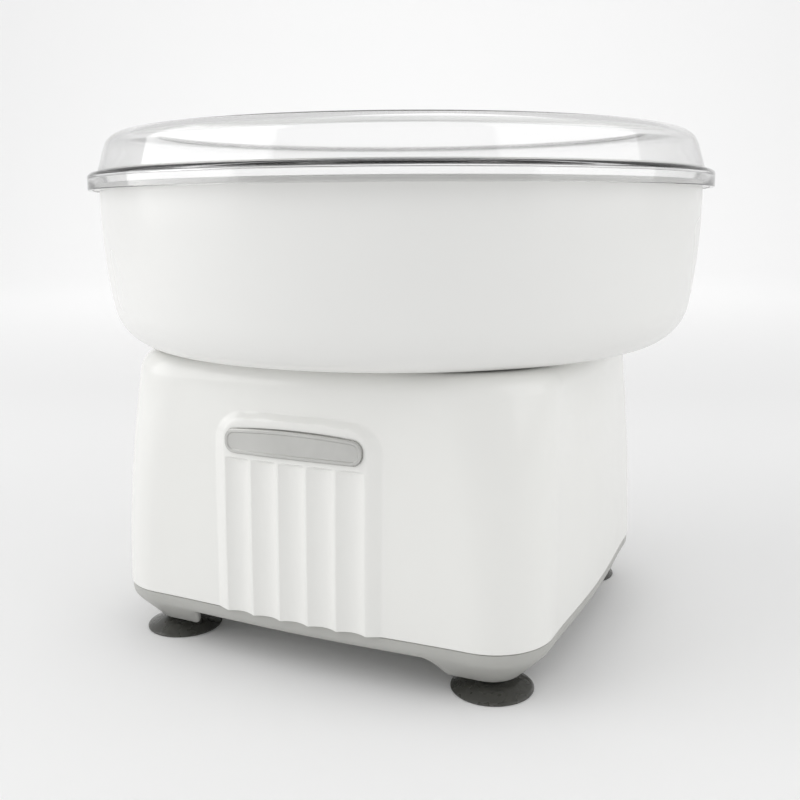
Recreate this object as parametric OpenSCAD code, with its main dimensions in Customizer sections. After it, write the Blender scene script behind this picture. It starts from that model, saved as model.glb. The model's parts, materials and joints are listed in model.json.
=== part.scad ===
// Table-top candy-floss maker: a rounded-square housing on a grey base with four suction
// feet, a wide white bowl with a clear splash guard, and a spinner head over a heating
// ring, turned by a small motor inside the housing.
// The origin is on the spin axis at table level. +Z is up and the front faces -Y.

/* [Housing] */
// Width of the housing across its sides, at the seam with the base
housing_w = 213; // [190:1:260]
// Depth of the housing from front to back, at the seam with the base
housing_d = 198; // [180:1:240]
// Height of the housing above the seam
housing_h = 112.4; // [100:0.1:140]
// Corner radius of the housing in plan, at the seam
corner_r = 30; // [26:1:40]
// Radius of the gentle barrel curve of the walls
barrel_r = 640; // [560:10:1200]
// Radius of the rounded top shoulder
shoulder_r = 10; // [6:0.5:13]
// Thickness of the housing walls
wall = 2.8; // [2:0.1:3.6]
// How far the spin axis sits behind the middle of the housing
axis_setback = 10; // [0:1:14]
// Radius of the neck on top of the housing that the bowl drops over
neck_r = 52; // [46:1:60]
// Height of the neck above the top of the housing
neck_h = 8; // [5:0.5:10]

/* [Fluted front panel] */
// Width of the raised panel at its crest
panel_w = 70; // [55:1:90]
// Height of the panel's top ledge above the seam
panel_h = 89; // [80:1:98]
// How far the panel stands proud of the wall
panel_proud = 2.4; // [1.6:0.1:3]
// Number of upright flutes in the panel
flute_count = 5; // [3:1:7]
// Depth of each flute
flute_depth = 1.9; // [1:0.1:2.4]
// Height of the flutes above the seam
flute_h = 71; // [55:1:72]

/* [Badge] */
// Width of the blank badge above the flutes
badge_w = 66.6; // [50:0.1:70]
// Height of the badge at its middle
badge_h = 11.9; // [8:0.1:13]
// Thickness of the badge
badge_t = 2.6; // [1.6:0.1:4]

/* [Base and feet] */
// Height of the seam between the base and the housing above the table
seam_z = 25.6; // [24:0.1:32]
// Height of the base's side band below the seam
base_h = 7.6; // [6:0.1:9]
// Thickness of the base's bottom plate
plate_t = 2.5; // [2:0.1:3.2]
// Sideways distance from the middle to each suction foot
foot_x = 81; // [72:1:84]
// Front-to-back distance from the housing's middle to each suction foot
foot_y = 74.4; // [66:0.1:76]
// Radius of a suction foot's rim
foot_r = 18; // [14:0.5:19]

/* [Bowl] */
// Largest radius of the bowl's outer wall
bowl_r = 144.8; // [120:0.1:175]
// Height of the bowl from its underside to the top of its rim
bowl_h = 75.6; // [62:0.1:92]
// Radius of the bowl's rounded bottom edge
bowl_edge_r = 23.6; // [18:0.1:28]
// Thickness of the bowl
bowl_t = 2.6; // [2:0.1:3.4]

/* [Splash guard] */
// Width of the guard's flange beyond the bowl wall
guard_flange = 5.2; // [4.6:0.1:7]
// Height of the guard above the bowl's rim
guard_h = 23.1; // [18:0.1:30]
// Thickness of the guard
guard_t = 2; // [1.6:0.1:2.4]
// Radius of the mouth in the top of the guard
mouth_r = 118; // [95:1:122]

/* [Spinner head and heater] */
// Radius of the spinner head
head_r = 44; // [38:1:50]
// Height of the spinner head's slotted band
band_h = 14; // [10:0.5:18]
// Number of slots in the band
slot_count = 40; // [20:2:48]
// Radius of the heating ring at the middle of its tube
ring_r = 33; // [28:1:36]
// Radius of the heating ring's tube
ring_tube_r = 2.5; // [2:0.1:3]

/* [Motor] */
// Radius of the motor shaft
shaft_r = 3; // [2.4:0.1:3.6]
// Radial running clearance between the shaft and its bearings
run_gap = 0.04; // [0.02:0.01:0.08]
// Radius of the motor can
can_r = 20; // [18:0.5:24]
// Height of the motor can
can_h = 43; // [36:1:48]
// Radius of the cooling fan
fan_r = 38; // [30:1:42]
// Number of fan blades
blade_count = 9; // [5:1:13]

/* [Rear fittings] */
// Radius of the bore that a mains lead would pass through
inlet_r = 3.6; // [3:0.1:4.5]
// Width of the power switch's frame
switch_w = 16; // [14:0.5:20]
// Height of the power switch's frame
switch_h = 23; // [21:0.5:28]

/* [Hidden] */
$fn = 96;
eps = 0.01;
gap = 0.3;          // clearance between neighbouring shells
fit_gap = 0.05;     // clearance of parts pushed together
curve_steps = 8;    // straight steps in a quarter of a small rounding
fine = 720;         // facets round a full turn of a very large radius

// Levels, upward from the table
foot_boss_z = 7;
pod_z = 6;
base_z = seam_z - base_h;
plate_z = base_z + plate_t;
base_top_z = seam_z - gap;
top_z = seam_z + housing_h;
ceiling_z = top_z - wall;
neck_z = top_z + neck_h;
bowl_z = top_z + gap;
rim_z = bowl_z + bowl_h;

// Plan of the housing
corner_x = housing_w / 2 - corner_r;
corner_y = housing_d / 2 - corner_r;
front_y = -axis_setback - housing_d / 2;
rear_y = -axis_setback + housing_d / 2;

// Base shell
base_side_in = 0.4;   // how far the base stands inside the housing's outline
base_round_r = 4.6;   // rounding of the base's lower edge
lip_h = 4;            // height of the locating lip above the seam

// Base screws and their posts
screw_post_x = corner_x - 30;
screw_post_y = corner_y + 3;
post_r = 4.5;
base_boss_r = 6.5;
base_boss_z = plate_z + 3.6;
screw_head_r = 3.8;
screw_head_h = 2.6;
screw_r = 1.5;
pilot_r = screw_r + fit_gap;
screw_bite = 12;

// Panel and badge
panel_bevel = 5.6;
panel_sink = 1;
panel_crown_r = 340;
panel_corner_r = 9;
ridge_land = 0.8;
flute_pitch = panel_w / flute_count;
flute_chord = flute_pitch - ridge_land;
flute_r = (flute_chord * flute_chord / 4 + flute_depth * flute_depth) / (2 * flute_depth);
badge_z = flute_h + 2.4;
badge_corner_r = 6.5;
badge_pocket = 1;

// Feet
pod_r = 19.6;
pod_wall = 2.4;
pod_flare = 7;
pod_draft = 1.2;
foot_boss_r = 6.5;
stem_r = 3.4;
bulb_r = 4.8;
foot_lip = 1.4;

// Bowl
belly_r = 278;
belly_h = bowl_h - 9.9;
rim_w = 2.8;
rim_t = 2.4;
collar_h = 11;
hole_r = neck_r + 1;

// Guard
guard_r = bowl_r + guard_flange;
guard_z = rim_z - rim_t - gap;
guard_step_z = rim_z + 5.2;
guard_top_z = rim_z + guard_h;
guard_shoulder_r = 9;
guard_wall_r = guard_r - 4.5;
guard_lean = 5;

// Heater and reflector dish
dish_t = 1;
dish_floor_z = neck_z - 5;
dish_bowl_r = neck_r - 6;
dish_hole_r = shaft_r + 6;
dish_collar_z = neck_z + 4;
support_h = 8;
support_w = 9;
support_d = 10;
support_count = 3;
ring_z = dish_floor_z + dish_t + support_h;
ring_open = 34;
leg_x = ring_r * cos(ring_open / 2);
leg_y = ring_r * sin(ring_open / 2);
leg_drop = 18;
leg_r = 0.9 * ring_tube_r;
leg_z = ring_z - leg_drop;
bush_r = leg_r + 1.8;
dish_screw_r = 1.5;
dish_screw_ring = (dish_bowl_r + neck_r) / 2;
dish_boss_r = (neck_r - dish_bowl_r) / 2 - 0.1;

// Spinner head
pan_z = ring_z + ring_tube_r + 3.5;
pan_t = 2.2;
pan_wall_h = 6;
hub_r = shaft_r + 4;
hub_drop = 4.5;
hub_h = 12;
band_z = pan_z + pan_wall_h;
cap_z = band_z + band_h;
cap_rise = 8;
cap_hole_r = 16;
cap_t = 1.6;
head_screw_ring = head_r - 8;
head_boss_r = 4;
pin_r = 1.25;
pin_len = 2 * hub_r - 2;
pin_z = pan_z - hub_drop + pin_r + 0.1;

// Motor
bracket_t = 1.5;
bracket_z = top_z - 29;
grommet_flange = 1.5;
grommet_r = 6.5;
grommet_neck_r = 4.7;
motor_post_ring = neck_r + 6;
motor_post_z = bracket_z + bracket_t + grommet_flange;
bracket_screw_r = 1.8;
can_top_z = bracket_z;
can_z = can_top_z - can_h;
can_t = 1.6;
bearing_r = shaft_r + 3;
bearing_h = 6;
end_cap_h = 6;
magnet_t = 3.4;
magnet_r = can_r - can_t - gap;
core_r = magnet_r - magnet_t - 0.8;
core_z = can_z + 12;
core_h = can_h - 24;
coil_h = 4;
commutator_r = shaft_r + 3;
commutator_h = 5;
fan_z = motor_post_z + 2;
fan_h = 11;
fan_hub_r = shaft_r + 4;
motor_screw_ring = can_r - 7;

// Rear fittings
inlet_x = housing_w / 2 - 45;
inlet_z = seam_z + 14;
inlet_flange_r = inlet_r + 5;
inlet_body_r = inlet_r + 2.4;
inlet_flange_t = 2.4;
inlet_depth = 12;
seat_y = rear_y - 1.4;
switch_x = -housing_w / 2 + 50;
switch_z = seam_z + 26;
switch_lip = 1.8;
switch_depth = 18;
switch_wall = 1.4;
rocker_tilt = 8;
rocker_w = switch_w - 2 * (switch_lip + switch_wall) - 2 * gap;
rocker_h = switch_h - 2 * (switch_lip + switch_wall) - 2 * gap;
vent_w = 3;
vent_h = 26;
vent_pitch = 8;
vent_count = 7;
vent_z = seam_z + 62;

// Small electrical parts on the base plate
block_pos = [inlet_x - 12, 30];
block_size = [30, 16, 12];
board_pos = [-52, -12];
board_size = [30, 44, 1.6];
board_lift = 5;
clamp_pos = [inlet_x, rear_y - 37];
clamp_size = [26, 8, 4];
clamp_lift = 9;
lead_r = 1.1;
fuse_pos = [-20, 22];
fuse_r = 2.2;
fuse_len = 11;

// ---- Helpers ---------------------------------------------------------------------------

// Points along a circular arc in steps from angle a0 to angle a1
function arc(x, y, r, a0, a1, n = curve_steps) =
  [for (i = [0 : n]) let (a = a0 + (a1 - a0) * i / n) [x + r * cos(a), y + r * sin(a)]];

// Angle at which a small rounding of radius r meets a large curve of radius big_r,
// when the small one ends level at a given rise from the large one's centre
function meeting_angle(rise, big_r, r) = asin((rise - r) / (big_r - r));

function reversed(points) = [for (i = [len(points) - 1 : -1 : 0]) points[i]];

// Flat-bottomed outline whose top is gently arched and has rounded corners
function arched_outline(w, h, crown_r, r) =
  let (
    cz = h - crown_r,
    side = w / 2 - r,
    rz = cz + sqrt((crown_r - r) * (crown_r - r) - side * side),
    meet = atan2(rz - cz, side)
  )
  concat(
    [[-w / 2, 0], [w / 2, 0]],
    arc(side, rz, r, 0, meet),
    arc(0, cz, crown_r, meet, 180 - meet, 2 * curve_steps),
    arc(-side, rz, r, 180 - meet, 180)
  );

// Moves a piece from the housing's middle to the shared frame
module centred() translate([0, -axis_setback, 0]) children();

// Copies of a piece at (x, y) and its three mirror images about the housing's middle
module at_four(x, y) {
  for (sx = [-1, 1], sy = [-1, 1])
    centred() translate([sx * x, sy * y, 0]) children();
}

// Copies of a piece round the spin axis
module around(count, r, first = 0) {
  for (i = [0 : count - 1])
    rotate([0, 0, first + i * 360 / count]) translate([r, 0, 0]) children();
}

// Rounded-square block: the same edge path swept round four corners and along the sides.
// The path gives distance outward from the corner's centre, and height.
module rounded_block(edge) {
  low_z = edge[0][1];
  high_z = edge[len(edge) - 1][1];
  section = concat([[0, low_z]], edge, [[0, high_z]]);
  across = concat(
    [for (p = edge) [corner_x + p[0], p[1]]],
    [for (p = reversed(edge)) [-corner_x - p[0], p[1]]]
  );
  along = concat(
    [for (p = edge) [corner_y + p[0], p[1]]],
    [for (p = reversed(edge)) [-corner_y - p[0], p[1]]]
  );
  for (c = [[1, 1, 0], [-1, 1, 90], [-1, -1, 180], [1, -1, 270]])
    translate([c[0] * corner_x, c[1] * corner_y, 0])
      rotate([0, 0, c[2]])
        rotate_extrude(angle = 90)
          polygon(section);
  translate([0, corner_y, 0])
    rotate([90, 0, 0])
      linear_extrude(2 * corner_y)
        polygon(across);
  translate([-corner_x, 0, 0])
    rotate([90, 0, 90])
      linear_extrude(2 * corner_x)
        polygon(along);
}

module tube(r_out, r_in, h) {
  difference() {
    cylinder(r = r_out, h = h);
    translate([0, 0, -1]) cylinder(r = r_in, h = h + 2);
  }
}

// Pan-head screw pointing up, with the underside of its head at z = 0
module screw(head_r, head_h, r, length) {
  translate([0, 0, -head_h]) cylinder(r = head_r, h = head_h, $fn = 48);
  translate([0, 0, -eps]) cylinder(r = r, h = length, $fn = 48);
}

// Round wire along a route, as a tube with a ring of points at each bend. Each ring
// carries on from the one before it, so the tube never twists.
module wire(route, r, sides = 8) {
  last = len(route) - 1;
  function direction(i) =
    let (d = route[min(i + 1, last)] - route[max(i - 1, 0)]) d / norm(d);
  function side_of(i) =
    let (
      d = direction(i),
      s = i == 0 ? [0.3, 0.5, 0.8] : side_of(i - 1),
      p = s - (s * d) * d
    )
    p / norm(p);
  rings = [for (i = [0 : last])
    let (s = side_of(i), u = cross(s, direction(i)))
    for (k = [0 : sides - 1])
      let (a = 360 * k / sides) route[i] + r * (cos(a) * s + sin(a) * u)];
  caps = [[for (k = [0 : sides - 1]) k],
    [for (k = [sides - 1 : -1 : 0]) last * sides + k]];
  walls = [for (i = [0 : last - 1], k = [0 : sides - 1])
    [i * sides + k, (i + 1) * sides + k, (i + 1) * sides + (k + 1) % sides,
     i * sides + (k + 1) % sides]];
  polyhedron(rings, concat(caps, walls), convexity = 4);
}

// ---- Housing ---------------------------------------------------------------------------

// Edge path of the housing: a gentle barrel wall that rolls over into the top
function housing_edge(inset, low_z) =
  let (
    meet = meeting_angle(housing_h, barrel_r, shoulder_r),
    barrel_x = corner_r - barrel_r,
    shoulder_x = barrel_x + (barrel_r - shoulder_r) * cos(meet)
  )
  concat(
    low_z < seam_z ? [[corner_r - inset, low_z]] : [],
    arc(barrel_x, seam_z, barrel_r - inset, 0, meet),
    arc(shoulder_x, top_z - shoulder_r, shoulder_r - inset, meet, 90)
  );

// Sweeps a section upward along the barrel curve of the front wall. In the section,
// x is the distance outward from the curve's centre and y runs across the front.
module up_the_front(low, high) {
  low_a = asin(low / barrel_r);
  high_a = asin(high / barrel_r);
  translate([0, front_y + barrel_r, seam_z])
    rotate([90, 0, -90])
      rotate([0, 0, low_a])
        rotate_extrude(angle = high_a - low_a, $fn = fine)
          children();
}

// Flat-bottomed arched prism standing in front of the housing, for trimming
module front_prism(w, h, crown_r, r, z) {
  translate([0, front_y + shoulder_r, z])
    rotate([90, 0, 0])
      linear_extrude(2 * shoulder_r)
        polygon(arched_outline(w, h, crown_r, r));
}

module fluted_panel() {
  crest = barrel_r + panel_proud;
  foot_w = panel_w / 2 + panel_bevel * (panel_proud + panel_sink) / panel_proud;
  difference() {
    intersection() {
      front_prism(2 * (panel_w / 2 + panel_bevel + 1), panel_h, panel_crown_r, panel_corner_r,
        seam_z);
      // The bevelled sides run on into the wall
      up_the_front(0, panel_h)
        polygon([
          [barrel_r - panel_sink, -foot_w], [crest, -panel_w / 2],
          [crest, panel_w / 2], [barrel_r - panel_sink, foot_w]
        ]);
    }
    for (i = [0 : flute_count - 1])
      up_the_front(-1, flute_h)
        translate([crest - flute_depth + flute_r, (i - (flute_count - 1) / 2) * flute_pitch])
          circle(r = flute_r);
  }
}

module badge_pocket_cut() {
  floor_r = barrel_r + panel_proud - badge_pocket;
  intersection() {
    front_prism(badge_w + 2 * gap, badge_h + 2 * gap, panel_crown_r, badge_corner_r,
      seam_z + badge_z - gap);
    up_the_front(badge_z - 5, panel_h)
      translate([floor_r, -badge_w])
        square([10, 2 * badge_w]);
  }
}

module rear_cuts() {
  // Seat and hole of the lead inlet
  translate([inlet_x, seat_y, inlet_z]) {
    rotate([-90, 0, 0]) cylinder(r = inlet_flange_r + gap, h = 10);
    rotate([90, 0, 0]) cylinder(r = inlet_body_r + fit_gap, h = 10);
  }
  // Seat and hole of the power switch
  translate([switch_x, seat_y, switch_z]) {
    translate([-switch_w / 2 - gap, 0, -switch_h / 2 - gap])
      cube([switch_w + 2 * gap, 10, switch_h + 2 * gap]);
    translate([-switch_w / 2 + switch_lip - fit_gap, -10, -switch_h / 2 + switch_lip - fit_gap])
      cube([switch_w - 2 * switch_lip + 2 * fit_gap, 11,
        switch_h - 2 * switch_lip + 2 * fit_gap]);
  }
  // Row of upright air slots
  for (i = [0 : vent_count - 1])
    translate([(i - (vent_count - 1) / 2) * vent_pitch, rear_y + 1, vent_z])
      rotate([90, 0, 0])
        linear_extrude(shoulder_r + wall + 6) {
          square([vent_w, vent_h], center = true);
          translate([0, vent_h / 2]) circle(r = vent_w / 2, $fn = 32);
          translate([0, -vent_h / 2]) circle(r = vent_w / 2, $fn = 32);
        }
}

// Neck that locates the bowl, with bosses inside for the reflector dish's screws
module neck() {
  low_z = ceiling_z - 6;
  translate([0, 0, low_z]) tube(neck_r, neck_r - wall, neck_z - low_z);
  around(3, dish_screw_ring, 30)
    translate([0, 0, neck_z - 9]) cylinder(r = dish_boss_r, h = 9, $fn = 48);
}

module housing() color("white") {
  difference() {
    union() {
      difference() {
        union() {
          centred() rounded_block(housing_edge(0, seam_z));
          fluted_panel();
        }
        centred() rounded_block(housing_edge(wall, seam_z - 1));
        translate([0, 0, ceiling_z - 1]) cylinder(r = neck_r - 1, h = wall + 2);
      }
      neck();
      at_four(screw_post_x, screw_post_y)
        translate([0, 0, base_boss_z]) cylinder(r = post_r, h = ceiling_z + 1 - base_boss_z);
      around(3, motor_post_ring, 90)
        translate([0, 0, motor_post_z]) cylinder(r = post_r, h = ceiling_z + 1 - motor_post_z);
    }
    at_four(screw_post_x, screw_post_y)
      translate([0, 0, base_boss_z - 1]) cylinder(r = pilot_r, h = screw_bite + 2, $fn = 48);
    around(3, motor_post_ring, 90)
      translate([0, 0, motor_post_z - 1])
        cylinder(r = bracket_screw_r + fit_gap, h = screw_bite + 2, $fn = 48);
    around(3, dish_screw_ring, 30)
      translate([0, 0, neck_z - 7]) cylinder(r = dish_screw_r + fit_gap, h = 20, $fn = 48);
    badge_pocket_cut();
    rear_cuts();
  }
}

module badge() color("silver") {
  back_r = barrel_r + panel_proud - badge_pocket + fit_gap;
  intersection() {
    front_prism(badge_w, badge_h, panel_crown_r, badge_corner_r, seam_z + badge_z);
    up_the_front(badge_z - 5, panel_h)
      translate([back_r, -badge_w])
        square([badge_t, 2 * badge_w]);
  }
}

// ---- Base and feet ---------------------------------------------------------------------

function base_edge(inset, low_z, high_z) =
  let (r = corner_r - base_side_in - inset)
  low_z > base_z ? [[r, low_z], [r, high_z]] :
    concat(
      arc(r - base_round_r, base_z + base_round_r, base_round_r, -90, 0),
      [[r, high_z]]
    );

// Outer shape of one corner pod: a slightly tapered drum that flares into the base
module pod_shape() {
  flare_z = base_z - pod_flare;
  rotate_extrude()
    polygon(concat(
      [[0, pod_z], [pod_r - 1, pod_z], [pod_r, pod_z + 1]],
      [[pod_r + pod_draft, flare_z]],
      arc(pod_r + pod_draft + pod_flare, flare_z, pod_flare, 180, 90),
      [[pod_r + pod_draft + pod_flare, plate_z - eps], [0, plate_z - eps]]
    ));
}

module base() color("darkgray") {
  trim_r = corner_r - base_side_in - 2.2;
  difference() {
    union() {
      difference() {
        centred() rounded_block(base_edge(0, base_z, base_top_z));
        centred() rounded_block(base_edge(pod_wall, plate_z, base_top_z + 1));
      }
      // Lip that locates the housing
      difference() {
        centred() rounded_block([[corner_r - wall - gap, plate_z - 1],
          [corner_r - wall - gap, seam_z + lip_h]]);
        centred() rounded_block([[corner_r - wall - gap - 2, plate_z - 2],
          [corner_r - wall - gap - 2, seam_z + lip_h + 1]]);
      }
      intersection() {
        at_four(foot_x, foot_y) pod_shape();
        centred() rounded_block([[trim_r, pod_z - 1], [trim_r, plate_z]]);
      }
      at_four(screw_post_x, screw_post_y)
        translate([0, 0, base_z]) cylinder(r = base_boss_r, h = base_boss_z - base_z);
      for (s = [-1, 1]) {
        translate([board_pos[0], board_pos[1] + s * (board_size[1] / 2 - 4), base_z + 1])
          cylinder(r = 3, h = plate_z + board_lift - base_z - 1);
        translate([clamp_pos[0] + s * (clamp_size[0] / 2 - 4), clamp_pos[1], base_z + 1])
          cylinder(r = 3.4, h = plate_z + clamp_lift - base_z - 1);
      }
    }
    // Hollow under each pod, round the foot's boss
    at_four(foot_x, foot_y) {
      translate([0, 0, pod_z - 1])
        difference() {
          cylinder(r = pod_r - pod_wall, h = base_z - pod_z + 1);
          translate([0, 0, foot_boss_z - pod_z + 1]) cylinder(r = foot_boss_r, h = base_z);
        }
      cylinder(r = stem_r + fit_gap, h = plate_z + 2);
    }
    // Screw pockets and holes
    at_four(screw_post_x, screw_post_y) {
      translate([0, 0, base_z - 1]) cylinder(r = screw_head_r + gap, h = 3 + 1);
      translate([0, 0, base_z]) cylinder(r = screw_r + gap, h = base_boss_z, $fn = 48);
    }
    for (s = [-1, 1]) {
      translate([board_pos[0], board_pos[1] + s * (board_size[1] / 2 - 4), plate_z - 1])
        cylinder(r = 1.2 + fit_gap, h = board_lift + 2, $fn = 48);
      translate([clamp_pos[0] + s * (clamp_size[0] / 2 - 4), clamp_pos[1], plate_z - 1])
        cylinder(r = 1.2 + fit_gap, h = clamp_lift + 2, $fn = 48);
    }
    // Air slots under the motor
    around(12, 24)
      translate([0, 0, base_z - 1])
        linear_extrude(plate_t + 2) {
          square([18, 3], center = true);
          translate([9, 0]) circle(r = 1.5, $fn = 32);
          translate([-9, 0]) circle(r = 1.5, $fn = 32);
        }
  }
}

// Rubber suction foot with its stem pushed through the pod and held by a bulb
module suction_foot() {
  shoulder_r1 = foot_boss_r - 0.6;
  dome_z = 3;
  rotate_extrude()
    polygon(concat(
      [[foot_r - foot_lip, 0], [foot_r, 0], [foot_r, 0.8]],
      [for (i = [1 : curve_steps])
        let (u = i / curve_steps)
        [foot_r + (shoulder_r1 - foot_r) * u, 0.8 + 3.6 * sin(90 * u)]],
      [[shoulder_r1, foot_boss_z - eps], [stem_r, foot_boss_z - eps], [stem_r, plate_z + eps],
       [bulb_r, plate_z + eps], [bulb_r, plate_z + 1.4], [stem_r - 1, plate_z + 4],
       [0, plate_z + 4], [0, dome_z]],
      [for (i = [1 : curve_steps - 1])
        let (u = i / curve_steps)
        [(foot_r - foot_lip) * u, dome_z * cos(90 * u)]]
    ));
}

module foot_at(sx, sy) color("dimgray")
  centred() translate([sx * foot_x, sy * foot_y, 0]) suction_foot();

module base_screws() color("silver")
  at_four(screw_post_x, screw_post_y)
    translate([0, 0, base_z + 3])
      screw(screw_head_r, screw_head_h, screw_r, base_boss_z - base_z - 3 + screw_bite);

// ---- Rear fittings and electrical parts ------------------------------------------------

module inlet_bush() color("dimgray")
  translate([inlet_x, seat_y, inlet_z])
    rotate([-90, 0, 0])
      difference() {
        union() {
          cylinder(r1 = inlet_flange_r, r2 = inlet_flange_r - 1, h = inlet_flange_t);
          translate([0, 0, -inlet_depth]) cylinder(r = inlet_body_r, h = inlet_depth + 1);
        }
        translate([0, 0, -inlet_depth - 1])
          cylinder(r = inlet_r, h = inlet_depth + inlet_flange_t + 2);
      }

module cord_clamp() color("white")
  translate([clamp_pos[0], clamp_pos[1], plate_z + clamp_lift])
    difference() {
      translate([-clamp_size[0] / 2, -clamp_size[1] / 2, 0]) cube(clamp_size);
      rotate([90, 0, 0]) cylinder(r = inlet_r - 0.6, h = 20, center = true);
      for (s = [-1, 1])
        translate([s * (clamp_size[0] / 2 - 4), 0, -1]) cylinder(r = 1.5, h = 10, $fn = 48);
    }

module cord_clamp_screws() color("silver")
  for (s = [-1, 1])
    translate([clamp_pos[0] + s * (clamp_size[0] / 2 - 4), clamp_pos[1],
      plate_z + clamp_lift + clamp_size[2]])
      rotate([180, 0, 0]) screw(2.8, 2, 1.2, clamp_size[2] + 7);

module switch_frame() color("black")
  translate([switch_x, seat_y, switch_z])
    difference() {
      union() {
        translate([-switch_w / 2, 0, -switch_h / 2]) cube([switch_w, 2.2, switch_h]);
        translate([-switch_w / 2 + switch_lip, -switch_depth, -switch_h / 2 + switch_lip])
          cube([switch_w - 2 * switch_lip, switch_depth + 1, switch_h - 2 * switch_lip]);
      }
      translate([-rocker_w / 2 - gap, -8, -rocker_h / 2 - gap])
        cube([rocker_w + 2 * gap, 12, rocker_h + 2 * gap]);
      // Sockets for the rocker's pivots
      translate([0, -2.5, 0])
        rotate([0, 90, 0])
          cylinder(r = 1.2 + run_gap, h = rocker_w + 2 * gap + 1.6, center = true, $fn = 48);
    }

// Rocker with a shallow V face, turning on two short pivots. At rest its top stands out.
module switch_rocker() color("dimgray") {
  tip = rocker_h / 2 - 0.8;
  translate([switch_x, seat_y - 2.5, switch_z]) {
    rotate([0, 90, 0]) cylinder(r = 1.2, h = rocker_w + 2 * gap + 1.2, center = true, $fn = 48);
    rotate([-rocker_tilt, 0, 0]) rotate([90, 0, 90])
      linear_extrude(rocker_w, center = true)
        polygon([
          [-2.6, -tip + 2.2], [4.6, -tip], [3.4, 0], [4.6, tip], [-2.6, tip - 2.2]
        ]);
  }
}

module terminal_block() color("white")
  translate([block_pos[0], block_pos[1], plate_z])
    difference() {
      translate([-block_size[0] / 2, -block_size[1] / 2, 0]) cube(block_size);
      for (i = [-1 : 1]) {
        translate([i * 9, 0, 5]) rotate([90, 0, 0]) cylinder(r = 2, h = 30, center = true);
        for (s = [-1, 1])
          translate([i * 9, s * 4.5, 7.5]) cylinder(r = 2.2, h = 10);
      }
    }

module terminal_screws() color("gold")
  for (i = [-1 : 1], s = [-1, 1])
    translate([block_pos[0] + i * 9, block_pos[1] + s * 4.5, plate_z + 7.5])
      cylinder(r = 2.1, h = 2.4, $fn = 48);

module rectifier_board() color("darkgreen")
  translate([board_pos[0], board_pos[1], plate_z + board_lift])
    difference() {
      translate([-board_size[0] / 2, -board_size[1] / 2, 0]) cube(board_size);
      for (s = [-1, 1])
        translate([0, s * (board_size[1] / 2 - 4), -1]) cylinder(r = 1.4, h = 4, $fn = 48);
    }

// Bridge rectifier, smoothing capacitor and a row of resistors
module rectifier_parts() color("dimgray")
  translate([board_pos[0], board_pos[1], plate_z + board_lift + board_size[2]]) {
    translate([-11, -10, 0]) cube([10, 10, 4]);
    translate([7, 2, 0]) cylinder(r = 5, h = 13);
    for (i = [0 : 2])
      translate([-9 + i * 4.5, 8, 1.5]) rotate([90, 0, 0]) cylinder(r = 1.5, h = 8, center = true);
  }

module board_screws() color("silver")
  for (s = [-1, 1])
    translate([board_pos[0], board_pos[1] + s * (board_size[1] / 2 - 4),
      plate_z + board_lift + board_size[2]])
      rotate([180, 0, 0]) screw(2.4, 1.6, 1.2, 6);

module thermal_fuse() color("silver")
  translate([fuse_pos[0], fuse_pos[1], dish_floor_z - fuse_r - 0.2])
    rotate([0, 90, 0]) cylinder(r = fuse_r, h = fuse_len, center = true, $fn = 48);

// ---- Motor -----------------------------------------------------------------------------

module motor_bracket() color("lightsteelblue")
  translate([0, 0, bracket_z])
    difference() {
      union() {
        cylinder(r = can_r + 8, h = bracket_t);
        for (i = [0 : 2])
          rotate([0, 0, 90 + i * 120]) {
            translate([0, -8, 0]) cube([motor_post_ring, 16, bracket_t]);
            translate([motor_post_ring, 0, 0]) cylinder(r = 8, h = bracket_t);
          }
      }
      around(3, motor_post_ring, 90)
        translate([0, 0, -1]) cylinder(r = grommet_neck_r + fit_gap, h = bracket_t + 2);
      around(2, motor_screw_ring)
        translate([0, 0, -1]) cylinder(r = 1.7, h = bracket_t + 2, $fn = 48);
      translate([0, 0, -1]) cylinder(r = bearing_r + 1.5, h = bracket_t + 2);
    }

module motor_grommets() color("black")
  around(3, motor_post_ring, 90)
    translate([0, 0, bracket_z - grommet_flange])
      difference() {
        union() {
          cylinder(r = grommet_r, h = grommet_flange);
          cylinder(r = grommet_neck_r, h = 2 * grommet_flange + bracket_t);
          translate([0, 0, grommet_flange + bracket_t])
            cylinder(r = grommet_r, h = grommet_flange);
        }
        translate([0, 0, -1]) cylinder(r = bracket_screw_r + gap, h = 10, $fn = 48);
      }

module bracket_screws() color("silver")
  around(3, motor_post_ring, 90)
    translate([0, 0, bracket_z - grommet_flange])
      screw(4.6, 2.2, bracket_screw_r, 2 * grommet_flange + bracket_t + screw_bite);

module motor_can() color("lightgray")
  difference() {
    union() {
      translate([0, 0, can_z]) cylinder(r = can_r, h = can_h);
      translate([0, 0, can_top_z - 1]) cylinder(r = bearing_r + 1, h = 3);
    }
    translate([0, 0, can_z - 1]) cylinder(r = can_r - can_t, h = can_h + 1 - can_t);
    translate([0, 0, can_top_z - 10]) cylinder(r = bearing_r + fit_gap, h = 20);
    around(2, motor_screw_ring)
      translate([0, 0, can_top_z - 4]) cylinder(r = 1.5, h = 10, $fn = 48);
  }

module motor_screws() color("silver")
  around(2, motor_screw_ring)
    translate([0, 0, bracket_z + bracket_t])
      rotate([180, 0, 0]) screw(2.6, 1.6, 1.4, bracket_t + can_t + 1);

module motor_end_cap() color("black")
  translate([0, 0, can_z - end_cap_h])
    difference() {
      union() {
        cylinder(r = can_r, h = end_cap_h);
        translate([0, 0, end_cap_h - eps])
          cylinder(r = can_r - can_t - fit_gap, h = 2);
      }
      translate([0, 0, -1]) cylinder(r = bearing_r + fit_gap, h = 20);
      translate([0, 0, end_cap_h - 2]) cylinder(r = can_r - 4, h = 10);
    }

module bearing(z) color("peru")
  translate([0, 0, z]) tube(bearing_r, shaft_r + run_gap, bearing_h);

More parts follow.
